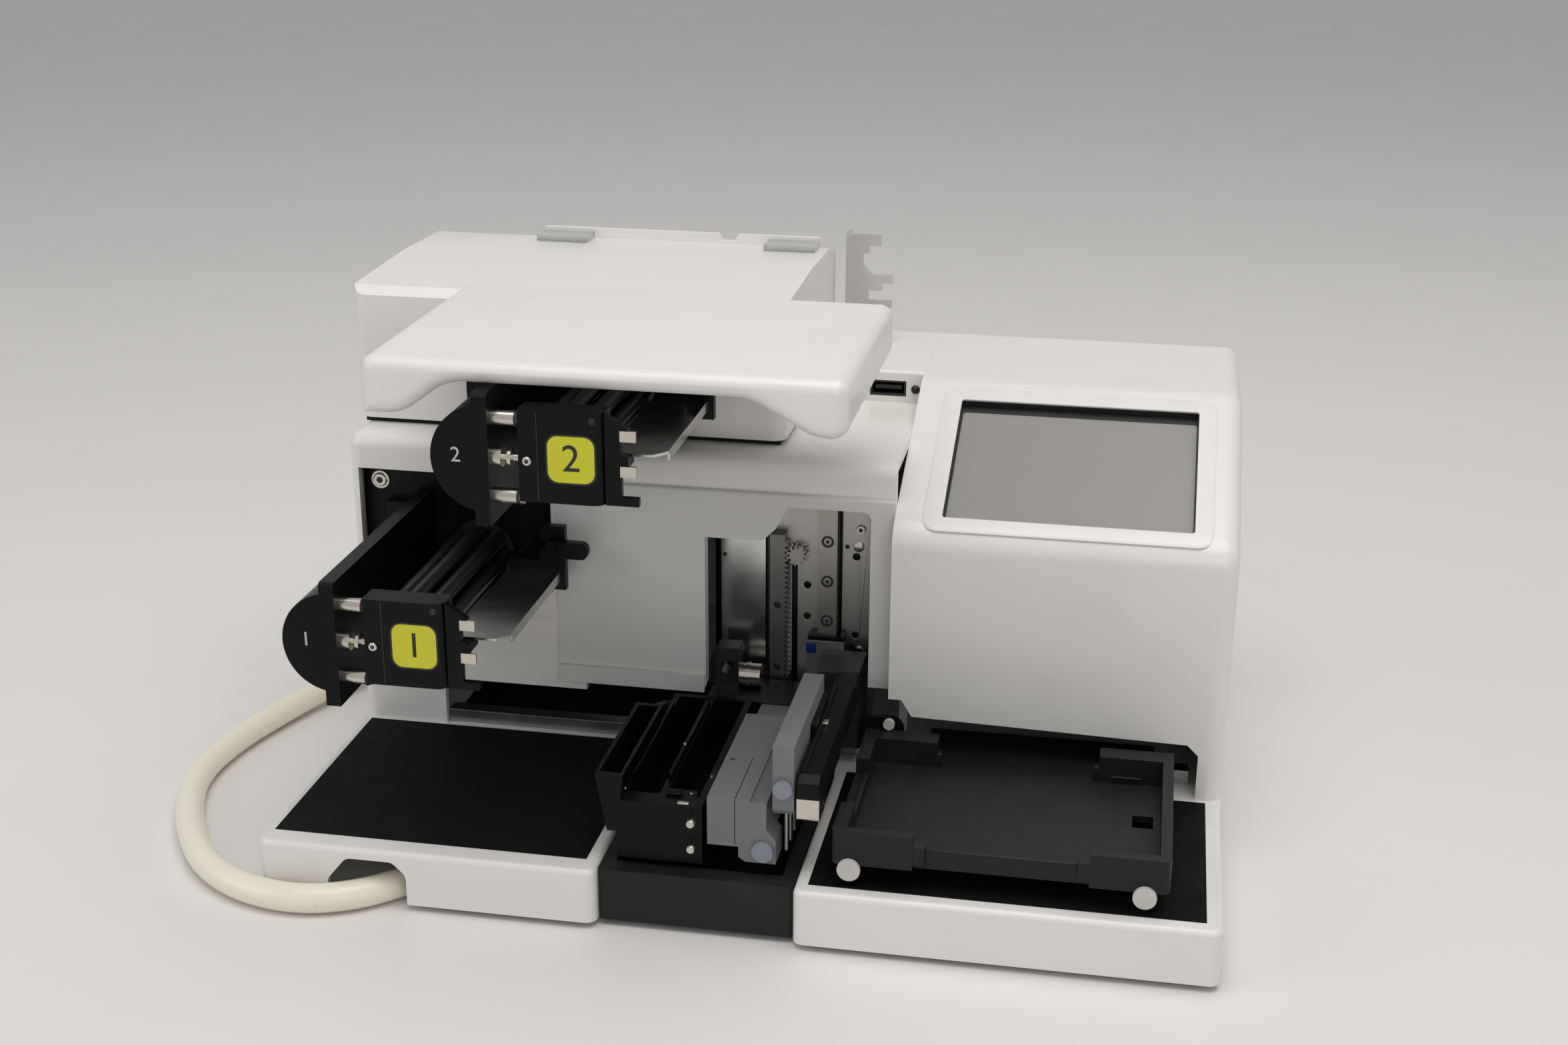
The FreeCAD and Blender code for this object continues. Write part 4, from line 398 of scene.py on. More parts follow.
# %% [markdown]
# The stretch of the lines follows how each metal part is made: a plate is brushed up and down,
# a rail is ground along its length, and turned pins and rolled sheet show next to nothing.

# %% Finishes of the metal pieces
PLATE = metal("brushed plate", (0.60, 0.59, 0.56), (0.42, 0.41, 0.39), (0.30, 0.42),
              (1600.0, 1600.0, 40.0), 0.25)
BEAM = metal("dark anodised block", (0.10, 0.10, 0.105), (0.07, 0.07, 0.075), (0.34, 0.48),
             (60.0, 60.0, 900.0), 0.15)
SHEET = metal("bright sheet", (0.66, 0.66, 0.65), (0.60, 0.60, 0.59), (0.16, 0.24),
              (200.0, 200.0, 12.0), 0.0)
STEEL = metal("ground steel", (0.42, 0.42, 0.41), (0.33, 0.33, 0.32), (0.26, 0.38),
              (700.0, 700.0, 40.0), 0.08)
ROLLER = metal("blackened roller", (0.10, 0.10, 0.10), (0.08, 0.08, 0.08), (0.34, 0.44),
               (60.0, 10.0, 60.0), 0.0)
NICKEL = metal("plated pins", (0.66, 0.63, 0.56), (0.56, 0.53, 0.47), (0.18, 0.28),
               (60.0, 20.0, 60.0), 0.0)
RACK = metal("oiled rack", (0.24, 0.235, 0.225), (0.20, 0.195, 0.19), (0.34, 0.42),
             (40.0, 40.0, 12.0), 0.0)
RAIL = metal("ground rail", (0.40, 0.385, 0.35), (0.34, 0.325, 0.30), (0.26, 0.36),
             (300.0, 300.0, 10.0), 0.04)
OXIDE = metal("black oxide screws", (0.06, 0.06, 0.065), (0.035, 0.035, 0.04), (0.34, 0.5),
              (300.0, 300.0, 300.0), 0.1)
print("finishes", len(bpy.data.materials))

# %% [markdown]
# Clear and milky pieces keep a plain transmission value on the shader. The hose is milky
# silicone, which scatters light inside more than it lets through, so it needs subsurface
# scattering. The display glass has a smooth coat that mirrors the pale room, and its mid grey
# base colour is a painted reflection of a pale wall in the dark glass.

# %% Finishes that light goes through


def see_through(name, colour, roughness, transmission, ior=1.45):
    """Clear or milky plastic with slightly uneven gloss."""
    finish, tree, shader = blank_finish(name)
    touch = use(tree, marks, {"Scale": 20.0, "Low": roughness[0], "High": roughness[1]})
    skin = use(tree, grain, {"Scale": 500.0})
    tones = two_tones(tree, touch.outputs["Mask"], colour, tuple(0.98 * c for c in colour))
    wire(tree, shader, tones, touch.outputs["Roughness"], skin.outputs["Height"], 0.04)
    shader.inputs["Transmission Weight"].default_value = transmission
    shader.inputs["IOR"].default_value = ior
    return finish


CLEAR = see_through("clear clip", (0.88, 0.90, 0.89), (0.08, 0.18), 0.85)
BUTTON = see_through("smoky button", (0.30, 0.33, 0.38), (0.22, 0.34), 0.25)
SILICONE = see_through("milky silicone", (0.93, 0.875, 0.745), (0.26, 0.40), 0.08, 1.41)
milky = SILICONE.node_tree.nodes["Principled BSDF"].inputs
milky["Subsurface Weight"].default_value = 0.5
milky["Subsurface Radius"].default_value = (0.012, 0.010, 0.006)
milky["Subsurface Scale"].default_value = 0.5
milky["Coat Weight"].default_value = 0.3
milky["Coat Roughness"].default_value = 0.2
# The mid grey base colour is a painted reflection of a pale wall in the dark glass.
DISPLAY_PAINTED_REFLECTION = plastic("display glass with painted reflection", (0.292, 0.285, 0.270), (0.288, 0.281, 0.266), (0.27, 0.29),
                 2600.0, 0.02, coat=0.5, marks_scale=5.0)
print("finishes", len(bpy.data.materials))

# %% [markdown]
# Each solid takes the finish of its real part: white mouldings, black pumps, a charcoal carrier,
# and metal where the machine is cut, ground or rolled. The two pumps are alike.

# %% Which finish each solid takes
FINISH_OF = {
    "left_tray": SHELL, "right_tray": SHELL, "pump_housing": SHELL, "front_cover": COVER_PAINTED_SHADE,
    "display_housing": SHELL, "upper_module": SHELL, "hood": SHELL, "rear_panel": SHELL,
    "tray_mats": MAT, "centre_well": WELL, "base_pan": PLATE, "rubber_feet": RUBBER,
    "pri_bay_panel": BLACK, "sec_bay_panel": BLACK, "touch_screen": DISPLAY_PAINTED_REFLECTION,
    # module_gasket is a black band between the upper module and the pump housing.
    "service_socket": INK, "module_gasket": RUBBER, "rim_clips": CLEAR,
    "tube_bracket": SHEET, "drive_motors": BLACK, "head_backplate": PLATE,
    "guide_plate": SHEET, "linear_rail": RAIL, "fixing_screws": OXIDE, "x_rail": STEEL,
    "power_inlet": BLACK, "switch_frame": BLACK, "power_rocker": BLACK,
    "hose_coupling": CHARCOAL, "drain_fitting": CHARCOAL,
    "gear_rack": RACK, "pinion": RAIL, "head_beam": BEAM,
    "head_carriage": STEEL, "trough_arm": BLACK, "arm_a": GREY, "arm_b": GREY, "arm_c": BLACK,
    "head_hardware": NICKEL, "needles": STEEL, "arm_a_button": BUTTON, "arm_b_button": BUTTON,
    "plate_carrier": CHARCOAL, "carrier_slider": BLACK, "carrier_hardware": PAD}
for pump in ("pri", "sec"):
    FINISH_OF.update({
        pump + "_side_plate": BLACK, pump + "_front_block": BLACK, pump + "_hardware": NICKEL,
        pump + "_combs": BLACK, pump + "_drip_shelf": SHEET, pump + "_rotor": ROLLER,
        pump + "_lever": BLACK})
print("finishes for", len(FINISH_OF), "solids")

# %% [markdown]
# No real edge is perfectly sharp. A mesh that comes from a solid has its vertices split at every
# edge, so a weld joins them again, a narrow bevel breaks the edges, and the faces are shaded
# smooth. Teeth, needles and screws are finer than such a bevel and go without it.

# %% Broken edges
EDGE_MM = {"left_tray": 0.5, "right_tray": 0.5, "pump_housing": 0.8, "front_cover": 0.5,
           "display_housing": 0.9, "upper_module": 1.5, "hood": 1.0, "rear_panel": 0.4,
           "tray_mats": 0.3, "centre_well": 0.6, "plate_carrier": 0.5, "trough_arm": 0.5,
           "arm_a": 0.6, "arm_b": 0.6, "arm_c": 0.4}
SMALL_EDGE = 0.2
FINE = {"gear_rack", "pinion", "needles", "head_hardware", "fixing_screws", "linear_rail",
        "pri_hardware", "sec_hardware", "pri_rotor", "sec_rotor"}
SAME_PLACE = 1e-5


def dress(node, finish, edge_mm, solid):
    """Give a solid its finish, and break its sharp edges unless they are too fine for it."""
    mesh = solid.data
    if "custom_normal" in mesh.attributes:
        mesh.attributes.remove(mesh.attributes["custom_normal"])
    mesh.materials.clear()
    mesh.materials.append(finish)
    mesh.polygons.foreach_set("use_smooth", [True] * len(mesh.polygons))
    if node in FINE:
        return
    weld = solid.modifiers.new("join split corners", "WELD")
    weld.merge_threshold = SAME_PLACE
    edge = solid.modifiers.new("broken edges", "BEVEL")
    edge.width = edge_mm / 1000.0
    edge.segments = 2
    edge.limit_method = "ANGLE"
    edge.angle_limit = math.radians(32)
    edge.harden_normals = True
    edge.use_clamp_overlap = True


print("edge rules for", len(EDGE_MM), "large solids")

# %% [markdown]
# The rims of the hood, the trays and the back panel are rounded by several millimetres. A wide
# bevel modifier folds over at their notches, so a copy of the solid gets rows of corners by
# plane cuts, and those corners then move onto the round. The copy stands in for the solid.

# %% Helpers for rounded copies


def welded_copy(node):
    """A copy of a solid's mesh, and the same shape with its split corners joined."""
    mesh = NODES[node].data.copy()
    shape = bmesh.new()
    shape.from_mesh(mesh)
    bmesh.ops.remove_doubles(shape, verts=shape.verts, dist=SAME_PLACE)
    return mesh, shape


def stand_in(node, shape, mesh):
    """Finish a mesh and let it take the place of the case solid that it was made from."""
    shape.to_mesh(mesh)
    shape.free()
    soft = link(bpy.data.objects.new(node + "_soft", mesh))
    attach(soft, "case")
    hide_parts(node)
    return soft


def inset(rise, radius):
    """How far a quarter round has come in at a rise above its start."""
    rise = min(max(rise, 0.0), radius)
    return radius - math.sqrt(radius * radius - rise * rise)


def cut_across(shape, axis, place):
    """Cut a mesh across one axis, so that it gets a row of corners there."""
    normal = Vector([float(k == axis) for k in range(3)])
    bmesh.ops.bisect_plane(shape, geom=shape.verts[:] + shape.edges[:] + shape.faces[:],
                           plane_co=normal * place, plane_no=normal, dist=1e-7)


def push_in(x, y, low, high, corner):
    """Distance to the outline of a moulding's left, front and right side, and the way in."""
    side, way = min((x - low.x, 1.0), (high.x - x, -1.0))
    front = y - low.y
    if side < corner and front < corner:
        u, v = corner - side, corner - front
        far = math.hypot(u, v)
        return corner - far, (way * u / far, v / far)
    return (side, (way, 0.0)) if side < front else (front, (0.0, 1.0))


print("rounding helpers ready")

# %% [markdown]
# A rim is rounded like this: the front corners of a square moulding first, seen from above, and
# then the top edge. Toward the back the rim's round fades out, because there it runs into the
# housing. Corners that end up in one place are merged, and faces that fold over are turned.

# %% Rounded rims
ARC = [math.radians(15.0 * k) for k in range(7)]
FADE, FADE_CUTS = 0.012, 5
CLOSE_BY, SLIVER = 6e-5, 2e-5


def round_front_corners(shape, low, high, corner):
    """Move the front wall of a square moulding onto a round at both ends."""
    for x, way in ((low.x, 1.0), (high.x, -1.0)):
        for angle in ARC:
            cut_across(shape, 0, x + way * corner * (1 - math.sin(angle)))
        for vertex in shape.verts:
            reach = way * (vertex.co.x - x)
            if vertex.co.y < low.y + SAME_PLACE and reach < corner:
                vertex.co.y += inset(corner - reach, corner)


def soft_copy(node, rim, rim_back, corner, square):
    """A copy of a case moulding whose top rim is rounded, up to the depth rim_back."""
    mesh, shape = welded_copy(node)
    low = Vector([min(v.co[k] for v in shape.verts) for k in range(3)])
    high = Vector([max(v.co[k] for v in shape.verts) for k in range(3)])
    if square:
        round_front_corners(shape, low, high, corner)
    start, back = high.z - rim, at(0, rim_back, 0).y
    for angle in ARC[:-1]:
        cut_across(shape, 2, start + rim * math.sin(angle))
    for step in range(FADE_CUTS + 1):
        cut_across(shape, 1, back - FADE * step / FADE_CUTS)
    for vertex in shape.verts:
        share = min(max((back - vertex.co.y) / FADE, 0.0), 1.0)
        deep = inset(vertex.co.z - start, rim) * share * share * (3 - 2 * share)
        gap, way = push_in(vertex.co.x, vertex.co.y, low, high, corner)
        if gap < deep:
            vertex.co.x += way[0] * (deep - gap)
            vertex.co.y += way[1] * (deep - gap)
    bmesh.ops.remove_doubles(shape, verts=shape.verts, dist=CLOSE_BY)
    bmesh.ops.dissolve_degenerate(shape, edges=shape.edges[:], dist=SLIVER)
    shape.normal_update()
    for face in shape.faces:
        if face.normal.z < -0.5 and min(v.co.z for v in face.verts) > high.z - SAME_PLACE:
            face.normal_flip()
    return stand_in(node, shape, mesh)


SOFT = {"hood": soft_copy("hood", 0.0055, 165.0, 0.007, False),
        "left_tray": soft_copy("left_tray", 0.0026, 128.0, 0.005, True),
        "right_tray": soft_copy("right_tray", 0.0026, 114.0, 0.005, True)}
print("rounded rims", {node: len(soft.data.polygons) for node, soft in SOFT.items()})

# %% [markdown]
# The back panel is sheet metal, so only the two outer top corners of its outline are round. They
# are plain edges through the sheet, which an ordinary bevel of the mesh rounds well.

# %% Rounded back panel
PANEL_CORNER_X, PANEL_CORNER_Z = 0.2064, 0.1738
THROUGH_EDGE = 0.002


def round_panel(node, radius):
    """A copy of the back panel whose two outer top corners follow the rounded housings."""
    mesh, shape = welded_copy(node)
    edges = [e for e in shape.edges
             if abs(e.verts[0].co.y - e.verts[1].co.y) > THROUGH_EDGE and all(
                 abs(v.co.x) > PANEL_CORNER_X and v.co.z > PANEL_CORNER_Z for v in e.verts)]
    bmesh.ops.bevel(shape, geom=edges, offset=radius, segments=6, profile=0.5, affect="EDGES")
    return stand_in(node, shape, mesh)


SOFT["rear_panel"] = round_panel("rear_panel", 0.0075)
print("rounded mouldings", len(SOFT))

# %% [markdown]
# With all of that ready the solids are dressed in one loop. The carriage of the rail is one
# solid, but its steel block ends in black plastic caps, so its end faces take a second finish.

# %% Dress the solids
CARRIAGE_STEEL = (0.0521, 0.0779)
for node, finish in FINISH_OF.items():
    dress(node, finish, EDGE_MM.get(node, SMALL_EDGE), SOFT.get(node, NODES[node]))
carriage = NODES["head_carriage"].data
carriage.materials.append(BLACK)
for face in carriage.polygons:
    if not CARRIAGE_STEEL[0] < face.center.z < CARRIAGE_STEEL[1]:
        face.material_index = 1
print("dressed", len(FINISH_OF), "left", sorted(set(NODES) - set(FINISH_OF)))

# %% [markdown]
# The waste hose lies on the bench in one loose bend, from the outlet at the left side to the
# arch in the front of the left tray. A spline with a round bevel gives it one smooth line, with
# the same points that set out the solid tube.

# %% Waste hose
HOSE_POINTS = [(-212.5, 107.0, 12.0), (-226.0, 99.2, 12.0), (-236.5, 87.5, 11.2),
               (-246.0, 68.5, 9.8), (-256.5, 44.0, 8.2), (-269.0, 12.0, 6.9),
               (-278.5, -23.0, 6.7), (-280.5, -60.0, 6.7), (-267.5, -98.5, 6.7),
               (-243.5, -136.5, 6.7), (-221.5, -154.5, 6.7), (-200.5, -162.4, 6.7),
               (-181.0, -163.2, 6.7), (-164.5, -157.2, 6.7), (-151.0, -147.2, 6.7),
               (-140.5, -135.5, 6.7)]
HOSE_RADIUS = 0.0065
hose_line = bpy.data.curves.new("waste_hose_line", "CURVE")
hose_line.dimensions = "3D"
hose_run = hose_line.splines.new("NURBS")
hose_run.points.add(len(HOSE_POINTS) - 1)
for point, (x, y, z) in zip(hose_run.points, HOSE_POINTS):
    point.co = (x / 1000.0, y / 1000.0, z / 1000.0, 1.0)
hose_run.order_u = 3
hose_run.use_endpoint_u = True
hose_run.resolution_u = 10
hose_line.bevel_depth = HOSE_RADIUS
hose_line.bevel_resolution = 8
hose_line.use_fill_caps = True
hose_line.materials.append(SILICONE)
hose = link(bpy.data.objects.new("waste_hose_tube", hose_line))
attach(hose, "case")
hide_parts("waste_hose")
print("hose points", len(HOSE_POINTS))

# %% [markdown]
# Small turned fittings are drawn as a profile and spun round, the way a lathe makes them. One
# helper does this for screws, rings and pins, and can sink a hexagon into a screw's head.

# %% Lathe and screw helpers
AIM = {"front": Vector((0, -1, 0)), "back": Vector((0, 1, 0)), "up": Vector((0, 0, 1)),
       "right": Vector((1, 0, 0))}


def close_up(shape, mesh, sharp_degrees):
    """Write a shape to its mesh, shaded smooth apart from edges over an angle."""
    shape.to_mesh(mesh)
    shape.free()
    mesh.polygons.foreach_set("use_smooth", [True] * len(mesh.polygons))
    mesh.set_sharp_from_angle(angle=math.radians(sharp_degrees))


def spin(profile, steps):
    """A closed solid of revolution about Z from (radius, height) points, in millimetres."""
    mesh = bpy.data.meshes.new("turned")
    shape = bmesh.new()
    rings = []
    for radius, height in profile:
        turns = [2 * math.pi * s / steps for s in range(steps)] if radius else [0.0]
        rings.append([shape.verts.new((radius / 1000.0 * math.cos(turn),
                                       radius / 1000.0 * math.sin(turn), height / 1000.0))
                      for turn in turns])
    for low, high in zip(rings, rings[1:]):
        for s in range(steps):
            t = (s + 1) % steps
            corners = dict.fromkeys([low[s % len(low)], low[t % len(low)],
                                     high[t % len(high)], high[s % len(high)]])
            if len(corners) > 2:
                shape.faces.new(list(corners))
    for end in (rings[0], rings[-1]):
        if len(end) > 2:
            shape.faces.new(end)
    bmesh.ops.recalc_face_normals(shape, faces=shape.faces)
    close_up(shape, mesh, 35)
    return mesh


def turned(name, profile, place, aim, body, finish, steps=28):
    """A turned fitting that points one way from a place on the machine."""
    mesh = spin(profile, steps)
    way = AIM[aim].to_track_quat("Z", "Y").to_matrix().to_4x4()
    mesh.transform(Matrix.Translation(place) @ way)
    return piece(name, mesh, body, finish)


def disc(radius, thick):
    """Profile of a flat disc."""
    return [(0, 0), (radius, 0), (radius, thick), (0, thick)]


def ring(inner, outer, thick):
    """Profile of a flat ring."""
    return [(inner, 0), (outer, 0), (outer, thick), (inner, thick)]


def cap_profile(radius, high):
    """Profile of a low domed screw head."""
    return [(0, 0), (radius, 0), (radius, high * 0.6), (radius * 0.86, high), (0, high)]


def socket_screw(name, place, aim, radius, high, body, finish):
    """A cap screw with a dark hexagon in its head."""
    turned(name, cap_profile(radius, high), place, aim, body, finish)
    turned(name + "_hex", disc(radius * 0.5, 0.04), place + AIM[aim] * (high - 0.02) / 1000.0,
           aim, body, INK, 6)


print("lathe ready")

# %% [markdown]
# Ribs, clips and steps are small moulded blocks. A block is a box whose edges are all rounded,
# because a bare box catches no light along its edges and looks like a stand-in.

# %% Moulded block helper


def slab(name, x, depth, height, body, finish, edge_mm=0.4):
    """A small moulded block with rounded edges between two X places, depths and heights."""
    mesh = bpy.data.meshes.new(name)
    shape = bmesh.new()
    bmesh.ops.create_cube(shape, size=1.0)
    low, high = at(x[0], depth[0], height[0]), at(x[1], depth[1], height[1])
    for vertex in shape.verts:
        vertex.co = Vector(low[k] + (vertex.co[k] + 0.5) * (high[k] - low[k]) for k in range(3))
    width = min(edge_mm / 1000.0, 0.45 * min(high[k] - low[k] for k in range(3)))
    bmesh.ops.bevel(shape, geom=shape.edges[:], offset=width, segments=3, profile=0.5,
                    affect="EDGES", clamp_overlap=True)
    close_up(shape, mesh, 50)
    return piece(name, mesh, body, finish)


print("block helper ready")

# %% [markdown]
# Printed numbers on the end covers and patches tell the two pumps apart. Plain figures are the
# only lettering on the machine. They are thin meshes rather than a painted texture, so that
# they stay crisp from near by.

# %% Figures and flat patches
FIGURE_THICK = 0.12


def figure(name, text, place, size_mm, body, finish):
    """A plain figure that faces the front, as a thin mesh."""
    line = bpy.data.curves.new(name, "FONT")
    line.body = text
    line.size = size_mm / 1000.0
    line.align_x, line.align_y = "CENTER", "CENTER"
    line.extrude = FIGURE_THICK / 2000.0
    draft = link(bpy.data.objects.new(name + "_draft", line))
    bpy.context.view_layer.update()
    mesh = bpy.data.meshes.new_from_object(draft.evaluated_get(
        bpy.context.evaluated_depsgraph_get()))
    bpy.data.objects.remove(draft)
    mesh.transform(Matrix.Translation(place) @ Matrix.Rotation(math.radians(90), 4, "X"))
    return piece(name, mesh, body, finish)


def rounded_outline(wide, high, radius, steps=6):
    """Corner points of a rounded rectangle round the origin, in millimetres."""
    points = []
    for quarter, (sx, sz) in enumerate(((1, 1), (-1, 1), (-1, -1), (1, -1))):
        for step in range(steps + 1):
            angle = math.pi / 2 * (quarter + step / steps)
            points.append((sx * (wide / 2 - radius) + radius * math.cos(angle),
                           sz * (high / 2 - radius) + radius * math.sin(angle)))
    return points


def patch(name, outline, place, thick, body, finish):
    """A thin flat sticker that faces the front."""
    mesh = bpy.data.meshes.new(name)
    shape = bmesh.new()
    back, front = [[shape.verts.new((x / 1000.0, y, z / 1000.0)) for x, z in outline]
                   for y in (0.0, -thick / 1000.0)]
    shape.faces.new(back)
    shape.faces.new(front)
    for k in range(len(outline)):
        n = (k + 1) % len(outline)
        shape.faces.new((back[k], back[n], front[n], front[k]))
    bmesh.ops.recalc_face_normals(shape, faces=shape.faces)
    shape.to_mesh(mesh)
    shape.free()
    mesh.transform(Matrix.Translation(place))
    return piece(name, mesh, body, finish)


print("print helpers ready")

# %% [markdown]
# The two pumps are the same assembly, the upper one stepped to the right and up. Each gets its
# figure, a patch on the front block, the block's seam, two small screws and a groove round each
# standoff. Every place is counted from the pump's left edge and the height of its drum's axis.

# %% Pump fittings
PUMPS = {"pri": (-174.0, 118.0, "1"), "sec": (-103.4, 204.6, "2")}
PUMP_FRONT = 11.0
STANDOFF_GROOVE = ring(3.35, 3.55, 1.1)
for pump, (left, axis, number) in PUMPS.items():
    figure(pump + "_cover_figure", number, at(left - 8.0, PUMP_FRONT + 2.0, axis + 1.0), 9.0,
           "case", MARK)
    centre = at(left + 41.0, PUMP_FRONT, axis + 2.6)
    patch(pump + "_patch_edge", rounded_outline(21.0, 21.0, 5.0), centre, 0.10, "case", INK)
    patch(pump + "_patch", rounded_outline(19.4, 19.4, 4.4), centre, 0.16, "case", YELLOW)
    figure(pump + "_patch_figure", number, centre + Vector((0, -0.00018, 0)), 16.0, "case", INK)
    patch(pump + "_block_seam", rounded_outline(0.35, 37.0, 0.1, 1),
          at(left + 27.0, PUMP_FRONT, axis + 3.0), 0.03, "case", INK)
    socket_screw(pump + "_block_screw", at(left + 22.6, PUMP_FRONT, axis + 1.0), "front", 1.9,
                 0.7, "case", NICKEL)
    turned(pump + "_block_pin", cap_profile(1.5, 0.5), at(left + 50.0, PUMP_FRONT, axis + 19.0),
           "front", "case", OXIDE)
    for side, rise in enumerate((-16.5, 16.5)):
        turned(pump + "_standoff_ring_%d" % side, STANDOFF_GROOVE,
               at(left + 16.4, PUMP_FRONT + 7.0, axis + rise), "right", "case", OXIDE)
print("pump fittings on", len(PUMPS), "pumps")

# %% [markdown]
# In the tower the rail is held by a row of cap screws, each sunk in a counterbore. They are
# drawn nearly flush, so that the carriage passes over them. The black disc round each screw head
# is painted shade for its counterbore.

# %% Rail screws
RAIL_X, RAIL_FACE = 19.2, 152.02
RAIL_FIRST, RAIL_PITCH, RAIL_SCREWS = 47.0, 20.0, 6
for step in range(RAIL_SCREWS):
    height = RAIL_FIRST + RAIL_PITCH * step
    # Black disc round the screw head: painted shade of its counterbore.
    turned("rail_counterbore_shade_%d" % step, disc(3.0, 0.04), at(RAIL_X, RAIL_FACE, height), "front",
           "case", INK)
    socket_screw("rail_screw_%d" % step, at(RAIL_X, RAIL_FACE + 0.02, height), "front", 2.0,
                 0.07, "case", RAIL)
print("rail screws", RAIL_SCREWS)

# %% [markdown]
# More screws and holes stand on the brushed plate behind the rail. They catch the light in the
# dark opening, so they are worth their few faces. Holes are thin black discs on the plate, which
# looks the same as a cut at this size. Thin black strips beside the rack, beside the rail and in
# the guide plate are painted shade, for the shadowed gaps there.

# %% Tower fittings
TOWER_FACE = 158.5
# Black strips flush on the plate: painted shade for the shadowed gaps beside the rack and rail.
for name, x, height in (("left_of_rack", (-10.3, -8.5), (52, 168)),
                        ("right_of_rack", (1.2, 4.0), (40, 112)),
                        ("right_of_rail", (23.8, 25.4), (40, 168)),
                        ("in_guide", (-36.0, -33.0), (60, 168))):
    slab("tower_painted_shade_" + name, x, (TOWER_FACE - 0.15, TOWER_FACE), height, "case", BLACK,
         0.05)
for number, (x, depth, height, radius) in enumerate(((27.6, 158.4, 122.8, 1.1),
                                                     (30.2, 158.4, 71.5, 1.9),
                                                     (-30.0, 151.9, 117.4, 1.0))):
    turned("tower_hole_%d" % number, disc(radius, 0.05), at(x, depth, height), "front", "case",
           INK)
turned("tower_plug", cap_profile(2.6, 0.6), at(33.1, TOWER_FACE, 123.2), "front", "case",
       NICKEL)
slab("carriage_seal", (9.9, 14.8), (148.1, 149.2), (71.5, 76.5), "head", BLUE, 0.3)
for number, (x, height) in enumerate(((-31, 158), (36, 158), (-31, 92), (34, 70), (34, 132))):
    socket_screw("tower_screw_%d" % number, at(x, TOWER_FACE, height), "front", 2.3, 1.6,
                 "case", NICKEL)
print("tower fittings placed")

# %% [markdown]
# The bay behind the lower pump is closed by a black panel with one bright screw in a washer. A
# rail and a block stand on that panel, a corner piece closes the shell beside it, and a mat
# lines the slot under the front cover, which is dark in the real machine.

# %% Bay fittings
BAY_PANEL, BAY_BACK = 137.0, 136.9
BAY_SCREW = at(-194.0, BAY_PANEL, 149.0)
socket_screw("bay_screw", BAY_SCREW, "front", 3.4, 1.4, "case", NICKEL)
turned("bay_screw_ring", ring(3.6, 4.4, 0.5), BAY_SCREW, "front", "case", NICKEL)
slab("bay_corner", (-126.0, -108.0), (128.7, BAY_BACK), (86.0, 101.2), "case", SHELL, 0.03)
slab("bay_rail", (-200.5, -176.0), (133.0, BAY_BACK), (118.5, 121.0), "case", BLACK)
slab("bay_block", (-190.0, -178.0), (131.5, BAY_BACK), (130.0, 140.0), "case", BLACK)
slab("slot_lining", (-163.0, 29.0), (139.6, 200.0), (28.02, 28.4), "case", MAT, 0.1)
print("bay fittings placed")

# %% [markdown]
# The trough arm carries a block between its two channels, thin fins beside them, a clip and
# some bright pins. All of these ride on the lifting head.

# %% Trough fittings
for name, x, depth, height, finish, edge_mm in (
        ("insert", (-26.6, -15.2), (21.2, 30.0), (44.0, 55.6), BLACK, 1.4),
        ("insert_lip", (-28.0, -21.0), (19.5, 24.0), (56.9, 58.6), BLACK, 0.7),
        ("fin", (-30.4, -28.4), (34.0, 110.0), (56.8, 60.6), BLACK, 0.8),
        ("fin_left", (-46.6, -45.0), (34.0, 108.0), (56.8, 59.0), BLACK, 0.6),
        ("clip", (-21.4, -16.4), (12.6, 14.6), (56.8, 57.9), NICKEL, 0.3)):
    slab("trough_" + name, x, depth, height, "head", finish, edge_mm)
for number, place in enumerate((at(-18.0, 25.0, 55.5), at(-29.4, 62.0, 60.4),
                                at(-45.8, 20.0, 58.4), at(-12.3, 40.0, 56.9))):
    turned("trough_pin_%d" % number, cap_profile(0.9, 0.7), place, "up", "head", NICKEL)
STUD = [(0, 0), (2.0, 0), (2.0, 1.6), (1.6, 2.2), (0, 2.2)]
for number, height in enumerate((51.0, 39.0)):
    turned("trough_stud_%d" % number, STUD, at(-14.6, 9.1, height), "front", "head", NICKEL)
print("trough fittings placed")

# %% [markdown]
# The grey arm is closed by a cover, whose seam runs down its front and along its top, and the
# narrow black arm has a rib with a bright tab. A seam is drawn as a hair-thin dark strip.

# %% Arm fittings
for name, x, depth, height, finish, edge_mm in (
        ("arm_a_seam_front", (3.3, 3.7), (11.94, 12.3), (41.0, 61.6), OXIDE, 0.05),
        ("arm_a_seam_top", (3.3, 3.7), (12.4, 52.0), (61.8, 62.05), OXIDE, 0.05),
        ("arm_a_slot", (-5.9, -3.9), (48.0, 49.6), (61.9, 62.06), INK, 0.05),
        ("arm_c_rib", (30.6, 32.2), (16.0, 104.0), (74.8, 76.2), BLACK, 0.5),
        ("arm_c_tab", (31.6, 34.6), (62.0, 66.0), (74.9, 76.8), NICKEL, 0.4)):
    slab(name, x, depth, height, "head", finish, edge_mm)
print("arm fittings placed")

# %% [markdown]
# The carrier's corners step down toward the middle of each side, so that a plate drops in on a
# lead. A thin lip runs along its front and left walls, and a leaf spring lies at the back right.

